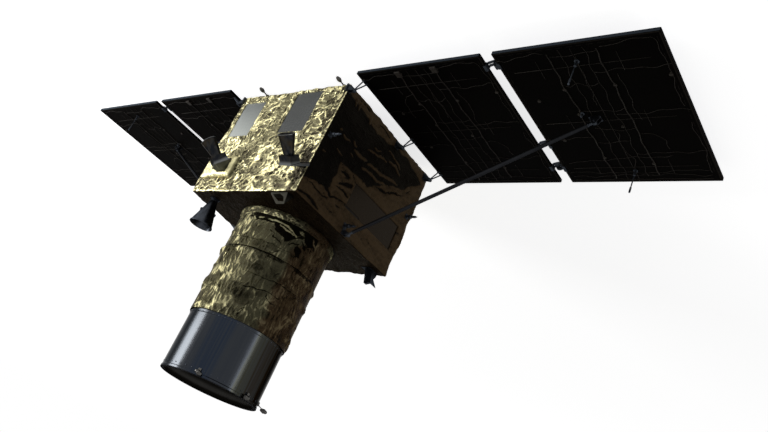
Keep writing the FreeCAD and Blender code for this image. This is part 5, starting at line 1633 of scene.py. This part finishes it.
    def panel_finish(self, wing):
        """Black woven skin, with a blue-grey edge member along the panel's rim."""
        finish = Finish("wing_panel", Metallic=0.0, IOR=1.45, Specular_IOR_Level=0.006)
        y = finish.axes()[1]
        bands = finish.node("ShaderNodeTexWave", {"wave_type": "BANDS", "bands_direction": "DIAGONAL"},
                            {"Vector": finish.place(), "Scale": 260.0, "Distortion": 0.6})
        weave = Socket(finish, bands.outputs["Fac"])
        cloud = finish.noise(5.0, 4.0, 0.6)
        streaks = finish.noise(60.0, 3.0, 0.6, 0.0, finish.stretched((0.15, 1, 1)))
        base = wing.panel
        colour = finish.blend((cloud * 0.6 + weave * 0.2 + streaks * 0.2).step(0.3, 0.8),
                              shaded(base, 0.5), shaded(base, 1.6))
        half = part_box("inner_panel_left")[1].y
        rim = abs(y).step(half - 0.0008, half - 0.0003)
        colour = finish.blend(rim, colour, (0.030, 0.037, 0.046))
        finish.bump(weave * 0.6 + streaks * 0.4, 0.0002, 0.3)
        return finish.paint(base_color=colour, roughness=(cloud * 0.2 + 0.5).clamp())

    def radiator_finish(self, colours):
        """Silvered sheet in tiles with thin dark joints; the left front plate carries a painted highlight
        that grows towards +Z and +X, and the end plates at the sides are painted dark as shade.
        """
        finish = Finish("radiator_tiles", Metallic=0.6, IOR=1.5, Specular_IOR_Level=0.05)
        x, y, z = finish.axes()
        end = abs(x).step(PANEL_HALF_X - 0.004, PANEL_HALF_X - 0.002)
        lines = [abs((axis / 0.026).math("FRACT") - 0.5).step(0.47, 0.49) for axis in (x + y, z)]
        joints = lines[0].math("MAXIMUM", lines[1])
        cloud = finish.noise(4.0, 2.0)
        grain = finish.noise(420.0, 2.0)
        base = colours.radiator
        colour = finish.blend((cloud * 0.6 + grain * 0.4).step(0.35, 0.65), shaded(base, 0.62),
                              shaded(base, 0.85))
        # Painted highlight on the left front plate.
        left = x.step(0.15, 0.20) * (1 - y.step(-0.2, 0.2))
        glow = ((z - 0.14) * 2.6 + (x - 0.23) * 1.2 + (grain - 0.5) * 0.3).clamp()
        bright = finish.blend(glow, (0.095, 0.102, 0.100), (0.42, 0.445, 0.42))
        colour = finish.blend(left, colour, bright)
        # The end plates at the sides are painted dark as shade.
        dull = finish.blend(grain.step(0.4, 0.6), colours.plate, shaded(colours.plate, 1.3))
        colour = finish.blend(end, colour, dull)
        colour = finish.blend(joints * 0.18, colour, shaded(base, 0.4))
        finish.bump(joints * -1.0 + grain * 0.15, 0.0002, 0.4)
        return finish.paint(base_color=colour, roughness=(cloud * 0.1 + 0.2).clamp())


class SATELLITE_PT_panel(bpy.types.Panel):
    """Buttons and sizes of the satellite"""
    bl_idname = "SATELLITE_PT_panel"
    bl_label = "Satellite"
    bl_space_type = "VIEW_3D"
    bl_region_type = "UI"
    bl_category = "Satellite"

    def draw(self, context):
        layout = self.layout
        for operator in OPERATORS:
            layout.operator(operator.bl_idname)
        for name, kind in GROUPS.items():
            box = layout.box()
            box.label(text=kind.__doc__)
            settings = getattr(context.scene, name)
            for key in kind.__annotations__:
                box.prop(settings, key)


OPERATORS = (SATELLITE_OT_stage, SATELLITE_OT_fittings, SATELLITE_OT_body_foil,
             SATELLITE_OT_barrel_foil, SATELLITE_OT_solar_cells, SATELLITE_OT_wing_wiring,
             SATELLITE_OT_fasteners)
GROUPS = {"satellite_stage": StageSettings, "satellite_foil": FoilSettings,
          "satellite_wing": WingSettings, "satellite_fitting": FittingSettings}


def register():
    for kind in (*GROUPS.values(), *OPERATORS, SATELLITE_PT_panel):
        bpy.utils.register_class(kind)
    for name, kind in GROUPS.items():
        setattr(bpy.types.Scene, name, PointerProperty(type=kind))


def unregister():
    for name in GROUPS:
        delattr(bpy.types.Scene, name)
    for kind in (SATELLITE_PT_panel, *reversed(OPERATORS), *GROUPS.values()):
        bpy.utils.unregister_class(kind)


def main():
    register()
    bpy.ops.satellite.stage()
    bpy.ops.satellite.fittings()
    bpy.ops.satellite.body_foil()
    bpy.ops.satellite.barrel_foil()
    bpy.ops.satellite.solar_cells()
    bpy.ops.satellite.wing_wiring()
    bpy.ops.satellite.fasteners()


if __name__ == "__main__":
    main()
